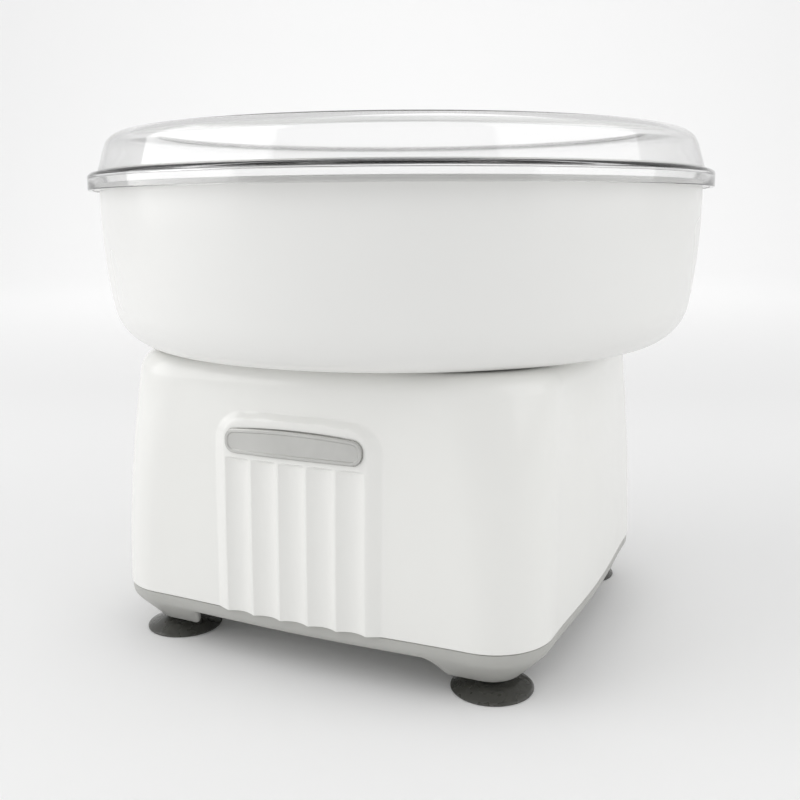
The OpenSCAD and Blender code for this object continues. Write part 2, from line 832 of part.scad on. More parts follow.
module motor_magnets() color("dimgray")
  translate([0, 0, core_z - 2])
    for (a = [0, 180])
      rotate([0, 0, a - 65])
        rotate_extrude(angle = 130)
          translate([magnet_r - magnet_t, 0])
            square([magnet_t, core_h + 4]);

module motor_brushes() color("black")
  for (s = [-1, 1])
    translate([s * (commutator_r + 0.1 + 3), 0, can_z + 3])
      cube([6, 4, 4], center = true);

module motor_shaft() color("silver")
  difference() {
    translate([0, 0, can_z - end_cap_h - 3])
      cylinder(r = shaft_r, h = pan_z + hub_h - (can_z - end_cap_h));
    translate([0, 0, pin_z])
      rotate([0, 90, 0]) cylinder(r = pin_r + 0.02, h = 20, center = true, $fn = 48);
  }

module armature_core() color("gray")
  translate([0, 0, core_z])
    difference() {
      cylinder(r = core_r, h = core_h);
      translate([0, 0, -1]) cylinder(r = shaft_r + 0.02, h = core_h + 2);
      around(7, core_r)
        translate([0, 0, -1]) cylinder(r = 1.6, h = core_h + 2, $fn = 32);
    }

module armature_windings() color("peru")
  for (z = [core_z - coil_h, core_z + core_h])
    translate([0, 0, z]) tube(core_r - 3, shaft_r + 2, coil_h);

module commutator() color("peru")
  translate([0, 0, can_z + 0.6])
    tube(commutator_r, shaft_r + 0.02, commutator_h);

// Radial fan that draws air past the motor and out round the heater
module cooling_fan() color("white")
  translate([0, 0, fan_z]) {
    difference() {
      union() {
        cylinder(r = fan_r, h = 1.6);
        cylinder(r = fan_hub_r, h = fan_h);
      }
      translate([0, 0, -1]) cylinder(r = shaft_r + 0.02, h = fan_h + 2);
    }
    around(blade_count, 0)
      translate([fan_hub_r - 0.5, -0.8, 1]) cube([fan_r - fan_hub_r, 1.6, fan_h - 2]);
  }

module drive_pin() color("silver")
  translate([0, 0, pin_z])
    rotate([0, 90, 0]) cylinder(r = pin_r, h = pin_len, center = true, $fn = 48);

// ---- Heater ----------------------------------------------------------------------------

module reflector_dish() color("silver")
  difference() {
    rotate_extrude()
      polygon([
        [dish_hole_r, dish_collar_z], [dish_hole_r, dish_floor_z],
        [dish_bowl_r - 2, dish_floor_z], [dish_bowl_r, dish_floor_z + 2],
        [dish_bowl_r, neck_z + fit_gap], [neck_r - 0.4, neck_z + fit_gap],
        [neck_r - 0.4, neck_z + dish_t], [dish_bowl_r - dish_t, neck_z + dish_t],
        [dish_bowl_r - dish_t, dish_floor_z + 2 + dish_t],
        [dish_bowl_r - 2 - dish_t, dish_floor_z + dish_t],
        [dish_hole_r + dish_t, dish_floor_z + dish_t], [dish_hole_r + dish_t, dish_collar_z]
      ]);
    for (s = [-1, 1])
      translate([leg_x, s * leg_y, dish_floor_z - 1]) cylinder(r = bush_r + fit_gap, h = 4);
    around(3, dish_screw_ring, 30)
      translate([0, 0, neck_z - 2]) cylinder(r = dish_screw_r + 0.2, h = 6, $fn = 48);
  }

module dish_screws() color("silver")
  around(3, dish_screw_ring, 30)
    translate([0, 0, neck_z + dish_t + fit_gap])
      rotate([180, 0, 0]) screw(2.4, 1.4, dish_screw_r, 6);

// Grooved ceramic blocks that carry the heating ring
module ceramic_supports() color("ivory")
  difference() {
    around(support_count, ring_r, 60)
      translate([-support_d / 2, -support_w / 2, dish_floor_z + dish_t])
        cube([support_d, support_w, support_h]);
    translate([0, 0, ring_z])
      rotate_extrude() translate([ring_r, 0]) circle(r = ring_tube_r + fit_gap, $fn = 48);
  }

// Tubular heating ring, open at one side, whose two ends turn down through the dish
module heating_ring() color("gray") {
  translate([0, 0, ring_z]) {
    rotate([0, 0, ring_open / 2])
      rotate_extrude(angle = 360 - ring_open)
        translate([ring_r, 0]) circle(r = ring_tube_r, $fn = 48);
    for (s = [-1, 1])
      translate([leg_x, s * leg_y, -leg_drop])
        cylinder(r = leg_r, h = leg_drop + 0.5 * ring_tube_r, $fn = 48);
  }
}

module heater_bushes() color("ivory")
  for (s = [-1, 1])
    translate([leg_x, s * leg_y, dish_floor_z - 5])
      tube(bush_r, leg_r + fit_gap, 9);

// ---- Spinner head ----------------------------------------------------------------------

module head_pan() color("silver")
  difference() {
    union() {
      rotate_extrude()
        polygon([
          [0, pan_z - hub_drop], [hub_r + 1, pan_z - hub_drop], [hub_r + 1, pan_z],
          [head_r - 1, pan_z], [head_r, pan_z + 1], [head_r, band_z],
          [head_r - 2.4, band_z], [head_r - 2.4, pan_z + pan_t + 1.5],
          [head_r - 3.9, pan_z + pan_t], [hub_r + 2, pan_z + pan_t],
          [hub_r, pan_z + pan_t + 2], [hub_r, pan_z + hub_h], [0, pan_z + hub_h]
        ]);
      around(3, head_screw_ring, 20)
        translate([0, 0, pan_z + 0.5]) cylinder(r = head_boss_r, h = pan_wall_h - 0.5);
    }
    translate([0, 0, pan_z - 10]) cylinder(r = shaft_r + run_gap, h = 40);
    around(3, head_screw_ring, 20)
      translate([0, 0, pan_z + 1.5]) cylinder(r = 1.25 + fit_gap, h = 10, $fn = 48);
    // Slot that drops over the drive pin
    translate([-20, -pin_r - 0.1, pan_z - hub_drop - 1])
      cube([40, 2 * pin_r + 0.2, 2 * pin_r + 1.4]);
  }

module head_band() color("silver")
  translate([0, 0, band_z + eps])
    difference() {
      tube(head_r - 0.6, head_r - 1.8, band_h - 2 * eps);
      around(slot_count, head_r - 4)
        translate([0, -0.5, 2]) cube([8, 1, band_h - 4]);
    }

module head_cap() color("silver")
  difference() {
    union() {
      rotate_extrude()
        polygon([
          [head_r - 2.4, cap_z], [head_r, cap_z], [head_r, cap_z + 2],
          [cap_hole_r + 4, cap_z + cap_rise], [cap_hole_r, cap_z + cap_rise + 1],
          [cap_hole_r, cap_z + cap_rise + 1 - cap_t],
          [cap_hole_r + 4, cap_z + cap_rise - cap_t], [head_r - 2.4, cap_z + 1]
        ]);
      around(3, head_screw_ring, 20)
        translate([0, 0, cap_z]) cylinder(r = head_boss_r, h = 5);
    }
    around(3, head_screw_ring, 20)
      translate([0, 0, cap_z - 1]) cylinder(r = 1.5, h = 10, $fn = 48);
  }

module head_screws() color("silver")
  around(3, head_screw_ring, 20)
    translate([0, 0, cap_z + 5])
      rotate([180, 0, 0]) screw(2.6, 1.6, 1.25, cap_z + 5 - pan_z - 2);

// ---- Bowl and splash guard -------------------------------------------------------------

// Path of the bowl's wall, from the middle of its floor up to its rim
function bowl_path(inset) =
  let (
    meet = meeting_angle(belly_h, belly_r, bowl_edge_r),
    belly_x = bowl_r - belly_r,
    belly_z = bowl_z + belly_h,
    edge_x = belly_x + (belly_r - bowl_edge_r) * cos(meet),
    rim_a = asin((bowl_h - rim_t - belly_h) / belly_r)
  )
  concat(
    arc(edge_x, bowl_z + bowl_edge_r, bowl_edge_r - inset, -90, -meet, 2 * curve_steps),
    arc(belly_x, belly_z, belly_r - inset, -meet, rim_a)
  );

module bowl() color("white")
  rotate_extrude($fn = 180)
    polygon(concat(
      [[hole_r, bowl_z]],
      bowl_path(0),
      [[bowl_r + rim_w, rim_z - rim_t], [bowl_r + rim_w, rim_z],
       [bowl_r - bowl_t, rim_z]],
      reversed(bowl_path(bowl_t)),
      [[hole_r + bowl_t + 3, bowl_z + bowl_t], [hole_r + bowl_t, bowl_z + bowl_t + 3],
       [hole_r + bowl_t, bowl_z + collar_h], [hole_r, bowl_z + collar_h]]
    ));

// Path of the guard's wall: flange band, step, leaning wall and rolled-in top
function guard_path(inset) =
  let (
    shoulder_x = guard_wall_r - guard_lean - guard_shoulder_r,
    shoulder_z = guard_top_z - guard_shoulder_r
  )
  concat(
    [[guard_r - inset, guard_z]],
    arc(guard_r - 2.4, guard_step_z - 2.4, 2.4 - inset, 0, 90),
    [[guard_wall_r - inset, guard_step_z - inset]],
    arc(shoulder_x, shoulder_z, guard_shoulder_r - inset, 0, 90),
    [[mouth_r, guard_top_z - inset]]
  );

module splash_guard() color("aliceblue", 0.4)
  rotate_extrude($fn = 180)
    polygon(concat(guard_path(0), reversed(guard_path(guard_t))));

// ---- Wiring ----------------------------------------------------------------------------

module motor_leads() color("red")
  for (s = [-1, 1])
    wire([
      [board_pos[0] + 13, board_pos[1] + 6 * s, plate_z + board_lift + board_size[2] + 1.5],
      [board_pos[0] + 18, board_pos[1] + 5 * s, plate_z + board_lift + 10],
      [-28, 6 * s, plate_z + 24],
      [-can_r + 4, 5 * s, can_z - end_cap_h - 8],
      [-can_r + 5, 5 * s, can_z - end_cap_h - 0.2]
    ], lead_r);

module heater_leads() color("orange")
  for (s = [-1, 1])
    wire([
      [block_pos[0] + 9 * s, block_pos[1] - 9, plate_z + 5],
      [block_pos[0] + 9 * s, block_pos[1] - 14, plate_z + 7],
      [block_pos[0] + 8 * s, block_pos[1] - 17, plate_z + 20],
      [leg_x + 8 + 4 * s, 9 * s + 3, bracket_z - 20],
      [leg_x + 13, leg_y * s, leg_z - 13],
      [leg_x + 10, leg_y * s, leg_z - 6],
      [leg_x + 3, leg_y * s, leg_z - 5],
      [leg_x, leg_y * s, leg_z - 3],
      [leg_x, leg_y * s, leg_z - 0.2]
    ], lead_r);

module switch_leads() color("blue")
  for (s = [-1, 1])
    wire([
      [switch_x, seat_y - switch_depth - 0.2, switch_z + 5 * s],
      [switch_x, seat_y - switch_depth - 4, switch_z + 5 * s],
      [switch_x + 3, seat_y - switch_depth - 15, switch_z - 4 + 4 * s],
      [switch_x + 16, seat_y - switch_depth - 18, switch_z - 12 + 3 * s],
      [block_pos[0] - 40, block_pos[1] + 18, plate_z + 12 + 3 * s],
      [block_pos[0] - 9 + 9 * s, block_pos[1] + 14, plate_z + 7],
      [block_pos[0] - 9 + 9 * s, block_pos[1] + 9, plate_z + 5]
    ], lead_r);

base();
foot_at(-1, -1);  // suction_foot_front_left
foot_at(1, -1);  // suction_foot_front_right
foot_at(-1, 1);  // suction_foot_rear_left
foot_at(1, 1);  // suction_foot_rear_right
base_screws();
housing();
badge();
inlet_bush();
cord_clamp();
cord_clamp_screws();
switch_frame();
switch_rocker();
switch_leads();
terminal_block();
terminal_screws();
rectifier_board();
rectifier_parts();
board_screws();
motor_bracket();
motor_grommets();
bracket_screws();
motor_can();
motor_screws();
motor_end_cap();
motor_magnets();
motor_brushes();
bearing(can_top_z - 3);  // upper_bearing
bearing(can_z - end_cap_h);  // lower_bearing
motor_leads();
motor_shaft();
armature_core();
armature_windings();
commutator();
cooling_fan();
drive_pin();
reflector_dish();
dish_screws();
ceramic_supports();
heating_ring();
heater_bushes();
heater_leads();
thermal_fuse();
head_pan();
head_band();
head_cap();
head_screws();
bowl();
splash_guard();
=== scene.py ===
"""Looks of a table-top candy-floss maker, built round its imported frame.

The frame gives every place and size; this script models the visible shells over it,
finishes every part and sets the stage. Lengths in the modelling code are millimetres,
and MM turns them into Blender's metres.
"""

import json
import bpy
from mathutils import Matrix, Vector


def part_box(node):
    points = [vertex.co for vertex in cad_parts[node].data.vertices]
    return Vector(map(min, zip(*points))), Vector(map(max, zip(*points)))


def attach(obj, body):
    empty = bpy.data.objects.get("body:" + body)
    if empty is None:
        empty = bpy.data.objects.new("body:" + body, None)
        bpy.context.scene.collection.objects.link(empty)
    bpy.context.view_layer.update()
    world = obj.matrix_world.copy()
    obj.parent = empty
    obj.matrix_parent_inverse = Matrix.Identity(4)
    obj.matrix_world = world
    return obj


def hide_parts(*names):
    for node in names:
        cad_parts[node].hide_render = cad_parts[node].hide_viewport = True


bl_info = {
    "name": "Candy Floss Maker",
    "version": (1, 0, 0),
    "blender": (4, 5, 0),
    "location": "3D View > Sidebar > Floss Maker",
    "description": "Models and finishes the shells of a table-top candy-floss maker",
    "category": "Object",
}

from contextlib import contextmanager
from math import asin, atan2, copysign, cos, degrees, hypot, pi, radians, sin, sqrt, tan

import bmesh
import bpy
from bpy.props import FloatProperty, FloatVectorProperty, IntProperty, PointerProperty
from mathutils import Matrix, Vector

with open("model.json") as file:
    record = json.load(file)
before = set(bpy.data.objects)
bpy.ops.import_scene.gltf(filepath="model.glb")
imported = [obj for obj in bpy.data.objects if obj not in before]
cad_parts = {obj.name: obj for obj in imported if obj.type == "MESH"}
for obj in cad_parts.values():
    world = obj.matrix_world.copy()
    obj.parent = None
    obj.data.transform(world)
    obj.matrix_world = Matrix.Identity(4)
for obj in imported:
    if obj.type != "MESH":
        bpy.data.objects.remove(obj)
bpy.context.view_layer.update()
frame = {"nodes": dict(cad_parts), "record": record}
MM = 0.001


def box_mm(node):
    """Lowest and highest corner of a CAD node, in millimetres."""
    low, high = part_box(node)
    return low / MM, high / MM


HOUSING_LOW, HOUSING_HIGH = box_mm("housing")
BASE_LOW, BASE_HIGH = box_mm("base")
BOWL_LOW, BOWL_HIGH = box_mm("bowl")
GUARD_LOW, GUARD_HIGH = box_mm("splash_guard")
CORNERS = ("front_left", "front_right", "rear_left", "rear_right")
FOOT_NODES = ["suction_foot_" + place for place in CORNERS]

# Heights of the seam between base and housing, the base's underside, the housing's flat top
# and its neck, then the housing's half width, half depth and middle at its seam, and the
# neck's radius
BASE_LIP = 4
BASE_DEPTH = 7.6
BASE_INSET = 0.4
BOWL_GAP = 0.3
SEAM_Z = BASE_HIGH.z - BASE_LIP
UNDER_Z = SEAM_Z - BASE_DEPTH
TOP_Z = BOWL_LOW.z - BOWL_GAP
NECK_Z = HOUSING_HIGH.z
HALF_W = HOUSING_HIGH.x
HALF_D = (BASE_HIGH.y - BASE_LOW.y) / 2 + BASE_INSET
CENTRE_Y = (BASE_HIGH.y + BASE_LOW.y) / 2
NECK_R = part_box("reflector_dish")[1].x / MM + 0.4


# ---- Sizes and colours -----------------------------------------------------------------


def length(name, description, default, low=0.1, high=500):
    """A length property. The sizes given here are millimetres."""
    return FloatProperty(
        name=name, description=description, default=default * MM, min=low * MM, max=high * MM,
        unit="LENGTH", precision=4)


def linear(code):
    """Linear RGBA from an sRGB hex colour."""
    parts = [int(code[i:i + 2], 16) / 255 for i in (1, 3, 5)]
    return tuple(c / 12.92 if c <= 0.04045 else ((c + 0.055) / 1.055) ** 2.4 for c in parts) + (1.0,)


def colour(name, description, code):
    """A colour property from an sRGB hex code."""
    return FloatVectorProperty(
        name=name, description=description, default=linear(code)[:3], size=3, subtype="COLOR",
        min=0, max=1)


def power(name, description, default):
    """A light's power property, in watts."""
    return FloatProperty(name=name, description=description, default=default, subtype="POWER")


class ShellSizes(bpy.types.PropertyGroup):
    """Sizes of the moulded shells that a user would change."""

    corner_radius: length("Corner radius", "Corner radius of the housing at its seam", 27.3)
    side_bulge: length("Side bulge", "How far each side of the housing swells at its middle", 2.2, 0)
    shoulder_radius: length("Shoulder radius", "Rounding round the top of the housing", 10)
    wall: length("Wall", "Thickness of the housing", 2.8)
    panel_half: length("Panel half width", "Half the width of the raised panel's crest", 34.6)
    panel_bevel: length("Panel bevel", "Width of the panel's sloping sides", 5.8)
    panel_proud: length("Panel height", "How far the panel stands out of the wall", 2.4)
    panel_top: length("Panel top", "Height of the panel's ledge above the seam", 89)
    flute_top: length("Flute top", "Height of the flutes above the seam", 71)
    flute_depth: length("Flute depth", "Depth of the hollow flutes", 1.9)
    badge_low: length("Badge foot", "Height of the badge above the seam", 73.4)
    badge_high: length("Badge height", "Height of the badge at its middle", 11.7)
    badge_half: length("Badge half width", "Half the width of the badge", 33.3)
    bowl_wall: length("Bowl wall", "Thickness of the bowl", 2.6)
    guard_wall: length("Guard wall", "Thickness of the splash guard", 2)


class ShellColours(bpy.types.PropertyGroup):
    """Colours and counts that a user would change."""

    flutes: IntProperty(
        name="Flutes", description="Number of flutes in the panel", default=5, min=3, max=9)
    housing: colour("Housing", "Colour of the housing", "#efefec")
    bowl: colour("Bowl", "Colour of the bowl", "#efefed")
    base: colour("Base", "Colour of the base", "#b5b5b1")
    badge: colour("Badge", "Colour of the badge", "#c9c9c6")
    foot: colour("Feet", "Colour of the suction feet", "#5c5c57")


class StageLights(bpy.types.PropertyGroup):
    """Strengths of the studio lights."""

    key: power("Key", "Power of the soft light on the left", 15)
    fill: power("Fill", "Power of the soft light on the right", 8)
    top: power("Top", "Power of the light overhead", 2)
    paper: power("Paper", "Power of the light on the paper behind", 36)
    sky: FloatProperty(name="Sky", description="Strength of the light from all round", default=0.68)


def sizes():
    """The shell sizes in millimetres, by name."""
    group = bpy.context.scene.floss_sizes
    return type("Sizes", (), {key: getattr(group, key) / MM for key in ShellSizes.__annotations__})


# ---- Modelling tools -------------------------------------------------------------------


def select_only(*pieces):
    """Selects these objects and nothing else; the last becomes active."""
    bpy.ops.object.select_all(action="DESELECT")
    for piece in pieces:
        piece.select_set(True)
    bpy.context.view_layer.objects.active = pieces[-1]


@contextmanager
def editing(piece, mode="VERT"):
    """Edit mode on one piece, all of its mesh selected to begin with."""
    select_only(piece)
    bpy.ops.object.mode_set(mode="EDIT")
    bpy.ops.mesh.select_mode(type=mode)
    bpy.ops.mesh.select_all(action="SELECT")
    yield
    bpy.ops.object.mode_set(mode="OBJECT")


def pick_faces(piece, test):
    """In edit mode, selects the faces whose middle and normal pass the test. Millimetres."""
    mesh = bmesh.from_edit_mesh(piece.data)
    for face in mesh.faces:
        face.select_set(bool(test(face.calc_center_median() / MM, face.normal)))
    bmesh.update_edit_mesh(piece.data)


def face_outwards(piece):
    """In edit mode, makes the faces agree, and turns them all over if they face inwards."""
    bpy.ops.mesh.select_all(action="SELECT")
    bpy.ops.mesh.normals_make_consistent(inside=False)
    if bmesh.from_edit_mesh(piece.data).calc_volume(signed=True) < 0:
        bpy.ops.mesh.flip_normals()


def close_up(piece):
    """Merges what coincides, drops loose edges and points the faces outwards."""
    with editing(piece):
        bpy.ops.mesh.remove_doubles(threshold=0.001 * MM)
        bpy.ops.mesh.delete_loose(use_verts=True, use_edges=True, use_faces=False)
        face_outwards(piece)


def add_primitive(kind, **settings):
    """Adds a primitive with nothing else selected and returns it."""
    bpy.ops.object.select_all(action="DESELECT")
    getattr(bpy.ops.mesh, "primitive_" + kind + "_add")(**settings)
    return bpy.context.object


def shape(piece, kind, **settings):
    """Adds a modifier, gives it its settings and applies it."""
    select_only(piece)
    modifier = piece.modifiers.new(kind.lower(), kind)
    for key, value in settings.items():
        setattr(modifier, key, value)
    bpy.ops.object.modifier_apply(modifier=modifier.name)


def carve(piece, *tools, operation="DIFFERENCE"):
    """Cuts tools out of a piece, or unites them with it, and throws the tools away."""
    for tool in tools:
        shape(piece, "BOOLEAN", operation=operation, object=tool, solver="EXACT")
        bpy.data.objects.remove(tool)


def join(pieces):
    """Makes several pieces one."""
    select_only(*pieces)
    bpy.ops.object.join()
    return bpy.context.object


def copy_of(piece, matrix):
    """A copy with a mesh of its own, moved by the matrix."""
    twin = piece.copy()
    twin.data = piece.data.copy()
    twin.data.transform(matrix)
    bpy.context.scene.collection.objects.link(twin)
    return twin


def finish_piece(piece, name, material, body, nodes=(), angle=32):
    """Settles a piece at the origin, smooths, names and finishes it, and ties it to the frame."""
    select_only(piece)
    bpy.ops.object.transform_apply(location=True, rotation=True, scale=True)
    bpy.ops.object.shade_smooth_by_angle(angle=radians(angle))
    piece.name = name
    piece.data.name = name
    piece.data.materials.clear()
    piece.data.materials.append(material)
    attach(piece, body)
    if nodes:
        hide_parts(*nodes)
    return piece


def arc(x, y, radius, start, end, steps=8):
    """Points on an arc, angles in degrees."""
    turns = [radians(start + (end - start) * k / steps) for k in range(steps + 1)]
    return [(x + radius * cos(a), y + radius * sin(a)) for a in turns]


def rounded(corners, steps=5):
    """A closed outline whose corners (x, y, radius) are rounded; (x, y) stays sharp."""
    outline = []
    for i, corner in enumerate(corners):
        here = Vector(corner[:2])
        if len(corner) == 2:
            outline.append(tuple(here))
            continue
        back = (Vector(corners[i - 1][:2]) - here).normalized()
        ahead = (Vector(corners[(i + 1) % len(corners)][:2]) - here).normalized()
        half = back.angle(ahead) / 2
        centre = here + (back + ahead).normalized() * corner[2] / sin(half)
        first = here + back * corner[2] / tan(half) - centre
        last = here + ahead * corner[2] / tan(half) - centre
        start = atan2(first.y, first.x)
        sweep = (atan2(last.y, last.x) - start + pi) % (2 * pi) - pi
        outline += arc(*centre, corner[2], degrees(start), degrees(start + sweep), steps)
    return outline


def spun(outline, steps=96, spot=(0, 0), closed=True):
    """Turns an outline of (radius, height) points about an upright axis at spot."""
    piece = add_primitive("plane", size=MM)
    axis = Vector((spot[0], spot[1], 0)) * MM
    places = [axis + Vector((x, 0, z)) * MM for x, z in outline + outline[:1 if closed else 0]]
    with editing(piece):
        bpy.ops.mesh.merge(type="CENTER")
        bpy.ops.transform.translate(value=places[0])
        for before, after in zip(places, places[1:]):
            bpy.ops.mesh.extrude_region_move(TRANSFORM_OT_translate={"value": after - before})
        bpy.ops.mesh.select_all(action="SELECT")
        bpy.ops.mesh.remove_doubles(threshold=0.001 * MM)
        bpy.ops.mesh.spin(steps=steps, angle=2 * pi, center=axis, axis=(0, 0, 1))
    close_up(piece)
    return piece


def slab(outline, near, far, across="y"):
    """A flat slab: its outline in the other two axes, from near to far along across."""
    piece = add_primitive("circle", vertices=len(outline), radius=0.01, fill_type="NGON")
    turns = {
        "x": lambda a, b, d: (d, a, b),
        "y": lambda a, b, d: (a, d, b),
        "z": lambda a, b, d: (a, b, d),
    }
    turn = turns[across]
    for vertex, (a, b) in zip(piece.data.vertices, outline):
        vertex.co = Vector(turn(a, b, near)) * MM
    with editing(piece):
        reach = Vector(turn(0, 0, far - near)) * MM
        bpy.ops.mesh.extrude_region_move(TRANSFORM_OT_translate={"value": reach})
    close_up(piece)
    return piece


def ring_of(x, y, radius, steps=48):
    """Outline of a circle."""
    return arc(x, y, radius, 0, 360 - 360 / steps, steps - 1)


def rounded_box(half_x, half_y, radius, x=0, y=0):
    """Outline of a rectangle with rounded corners."""
    signs = ((-1, -1), (1, -1), (1, 1), (-1, 1))
    return rounded([(x + i * half_x, y + j * half_y, radius) for i, j in signs])


def ease(t):
    """0 to 1 with a soft start and end."""
    t = min(max(t, 0), 1)
    return t * t * (3 - 2 * t)


def ramp(t, soft):
    """0 below 0, 1 above 1 and straight between, with its two bends rounded."""
    def bend(u):
        return 0 if u < -soft else u if u > soft else (u + soft) ** 2 / (4 * soft)
    return bend(t) - bend(t - 1)


# ---- Rounded-square shells -------------------------------------------------------------

# A mark is one place on the way round a rounded square: a side's name with a distance from
# its middle, measured at the seam, or a corner's number with an angle.
SEAM_CORNER = 27.3
HALVES = {"front": HALF_W, "right": HALF_D, "rear": HALF_W, "left": HALF_D}
STRAIGHT = {side: half - SEAM_CORNER for side, half in HALVES.items()}
CORNER_STEPS = 16


def marks_round(stations):
    """Marks all the way round, anticlockwise from the left end of the front. Each side's
    stations are distances from its middle, starting with 0."""
    marks = []
    for i, side in enumerate(STRAIGHT):
        half = [x for x in stations[side] if 0 < x < STRAIGHT[side] - 0.5]
        marks += [(side, x) for x in [-x for x in reversed(half)] + [0] + half]
        marks += [(i, 90 * (i - 1) + 90 * k / CORNER_STEPS) for k in range(CORNER_STEPS + 1)]
    return marks


def plan_place(mark, half_w, half_d, radius, bulge, fixed=46):
    """Where a mark is on a rounded square of this size. Marks nearer the middle of a side
    than fixed keep their distance, and the others stretch with the side."""
    side, t = mark
    if side not in STRAIGHT:
        sx, sy = ((1, -1), (1, 1), (-1, 1), (-1, -1))[side]
        x = sx * (half_w - radius) + radius * cos(radians(t))
        return x, sy * (half_d - radius) + radius * sin(radians(t))
    along, out = (half_w, half_d) if side in ("front", "rear") else (half_d, half_w)
    end = along - radius
    if abs(t) > fixed:
        t = copysign(fixed + (abs(t) - fixed) * (end - fixed) / (STRAIGHT[side] - fixed), t)
    out += bulge * (1 - (t / end) ** 2) ** 2
    return {"front": (t, -out), "right": (out, t), "rear": (-t, out), "left": (-out, -t)}[side]


def wrapped(marks, rows, place, closed=True):
    """A grid wrapped round the marks; place(mark, row) gives each point in millimetres."""
    loop = rows + rows[:1] if closed else rows
    piece = add_primitive("grid", x_subdivisions=len(marks), y_subdivisions=len(loop) - 1, size=1)
    for vertex in piece.data.vertices:
        column = round((vertex.co.x + 0.5) * len(marks)) % len(marks)
        row = round((vertex.co.y + 0.5) * (len(loop) - 1))
        vertex.co = Vector(place(marks[column], loop[row])) * MM
    with editing(piece):
        bpy.ops.mesh.remove_doubles(threshold=0.002 * MM)
        bpy.ops.mesh.dissolve_degenerate(threshold=0.002 * MM)
        face_outwards(piece)
    return piece


def drawn_round(x, y, row):
    """Moves a point towards the row's circle round the upright axis, by the row's pull."""
    pull = row.get("pull", 0)
    if not pull:
        return x, y
    scale = 1 + (row["ring"] / hypot(x, y) - 1) * pull
    return x * scale, y * scale


def wall_lean(rise):
    """How far the housing's wall has drawn in at this height above the seam."""
    return 0.0114 * rise + 0.0002 * rise * rise


def corner_growth(rise):
    """How much larger the housing's corner radius is at this height above the seam."""
    return 0.00117 * rise * rise


# Half the width of the flat land that is left between two flutes
LAND = 0.4


def arched(z, x, crown=340):
    """A height that falls away to both sides along a very flat arch."""
    return z - crown + sqrt(crown * crown - min(x * x, crown * crown))


def panel_relief(s, flutes, x, z):
    """How far the fluted panel stands out of the front wall at this point. Its sides slope
    gently, its ledge is steep, and they meet in a round corner."""
    corner = 8.5
    ledge = 2.6
    side_in = s.panel_half + LAND - abs(x)
    top_in = arched(SEAM_Z + s.panel_top, x) - z
    near_side, near_top = max(0, corner - side_in), max(0, corner - top_in)
    if near_side and near_top:
        inward = corner - hypot(near_side, near_top)
        share = near_side ** 2 / (near_side ** 2 + near_top ** 2)
        slope = ledge + (s.panel_bevel - ledge) * share
    else:
        inward = min(side_in, top_in)
        slope = s.panel_bevel if side_in < top_in else ledge
    relief = s.panel_proud * ramp(1 + inward / slope, 0.14)
    pitch = 2 * s.panel_half / flutes
    chord = pitch / 2 - LAND
    curve = (chord * chord + s.flute_depth ** 2) / (2 * s.flute_depth)
    offset = (x + s.panel_half) % pitch - pitch / 2
    if abs(x) < s.panel_half and abs(offset) < chord:
        hollow = sqrt(curve * curve - offset * offset) - (curve - s.flute_depth)
        relief -= hollow * ramp((SEAM_Z + s.flute_top - z) / 0.7, 0.2)
    return relief


def front_y(s, x, z):
    """Depth of the housing's front wall, without the panel."""
    rise = z - SEAM_Z
    inset = wall_lean(rise)
    end = HALF_W - inset - s.corner_radius - corner_growth(rise)
    return CENTRE_Y - (HALF_D - inset + s.side_bulge * (1 - (x / end) ** 2) ** 2)


def badge_outline(s, grow=0.0):
    """Flat-footed, arched outline of the badge in x and z."""
    low = SEAM_Z + s.badge_low - grow
    high = SEAM_Z + s.badge_low + s.badge_high + grow
    half = s.badge_half + grow
    corner = 4.6 + grow
    top = [(x, arched(high, x)) for x in [half - 2 * half * k / 24 for k in range(25)]]
    inner = [(x, z) for x, z in top if abs(x) < half - corner - 0.5]
    upper = [(half, arched(high, half), corner)] + inner + [(-half, arched(high, half), corner)]
    return rounded([(-half, low, corner), (half, low, corner)] + upper, 10)


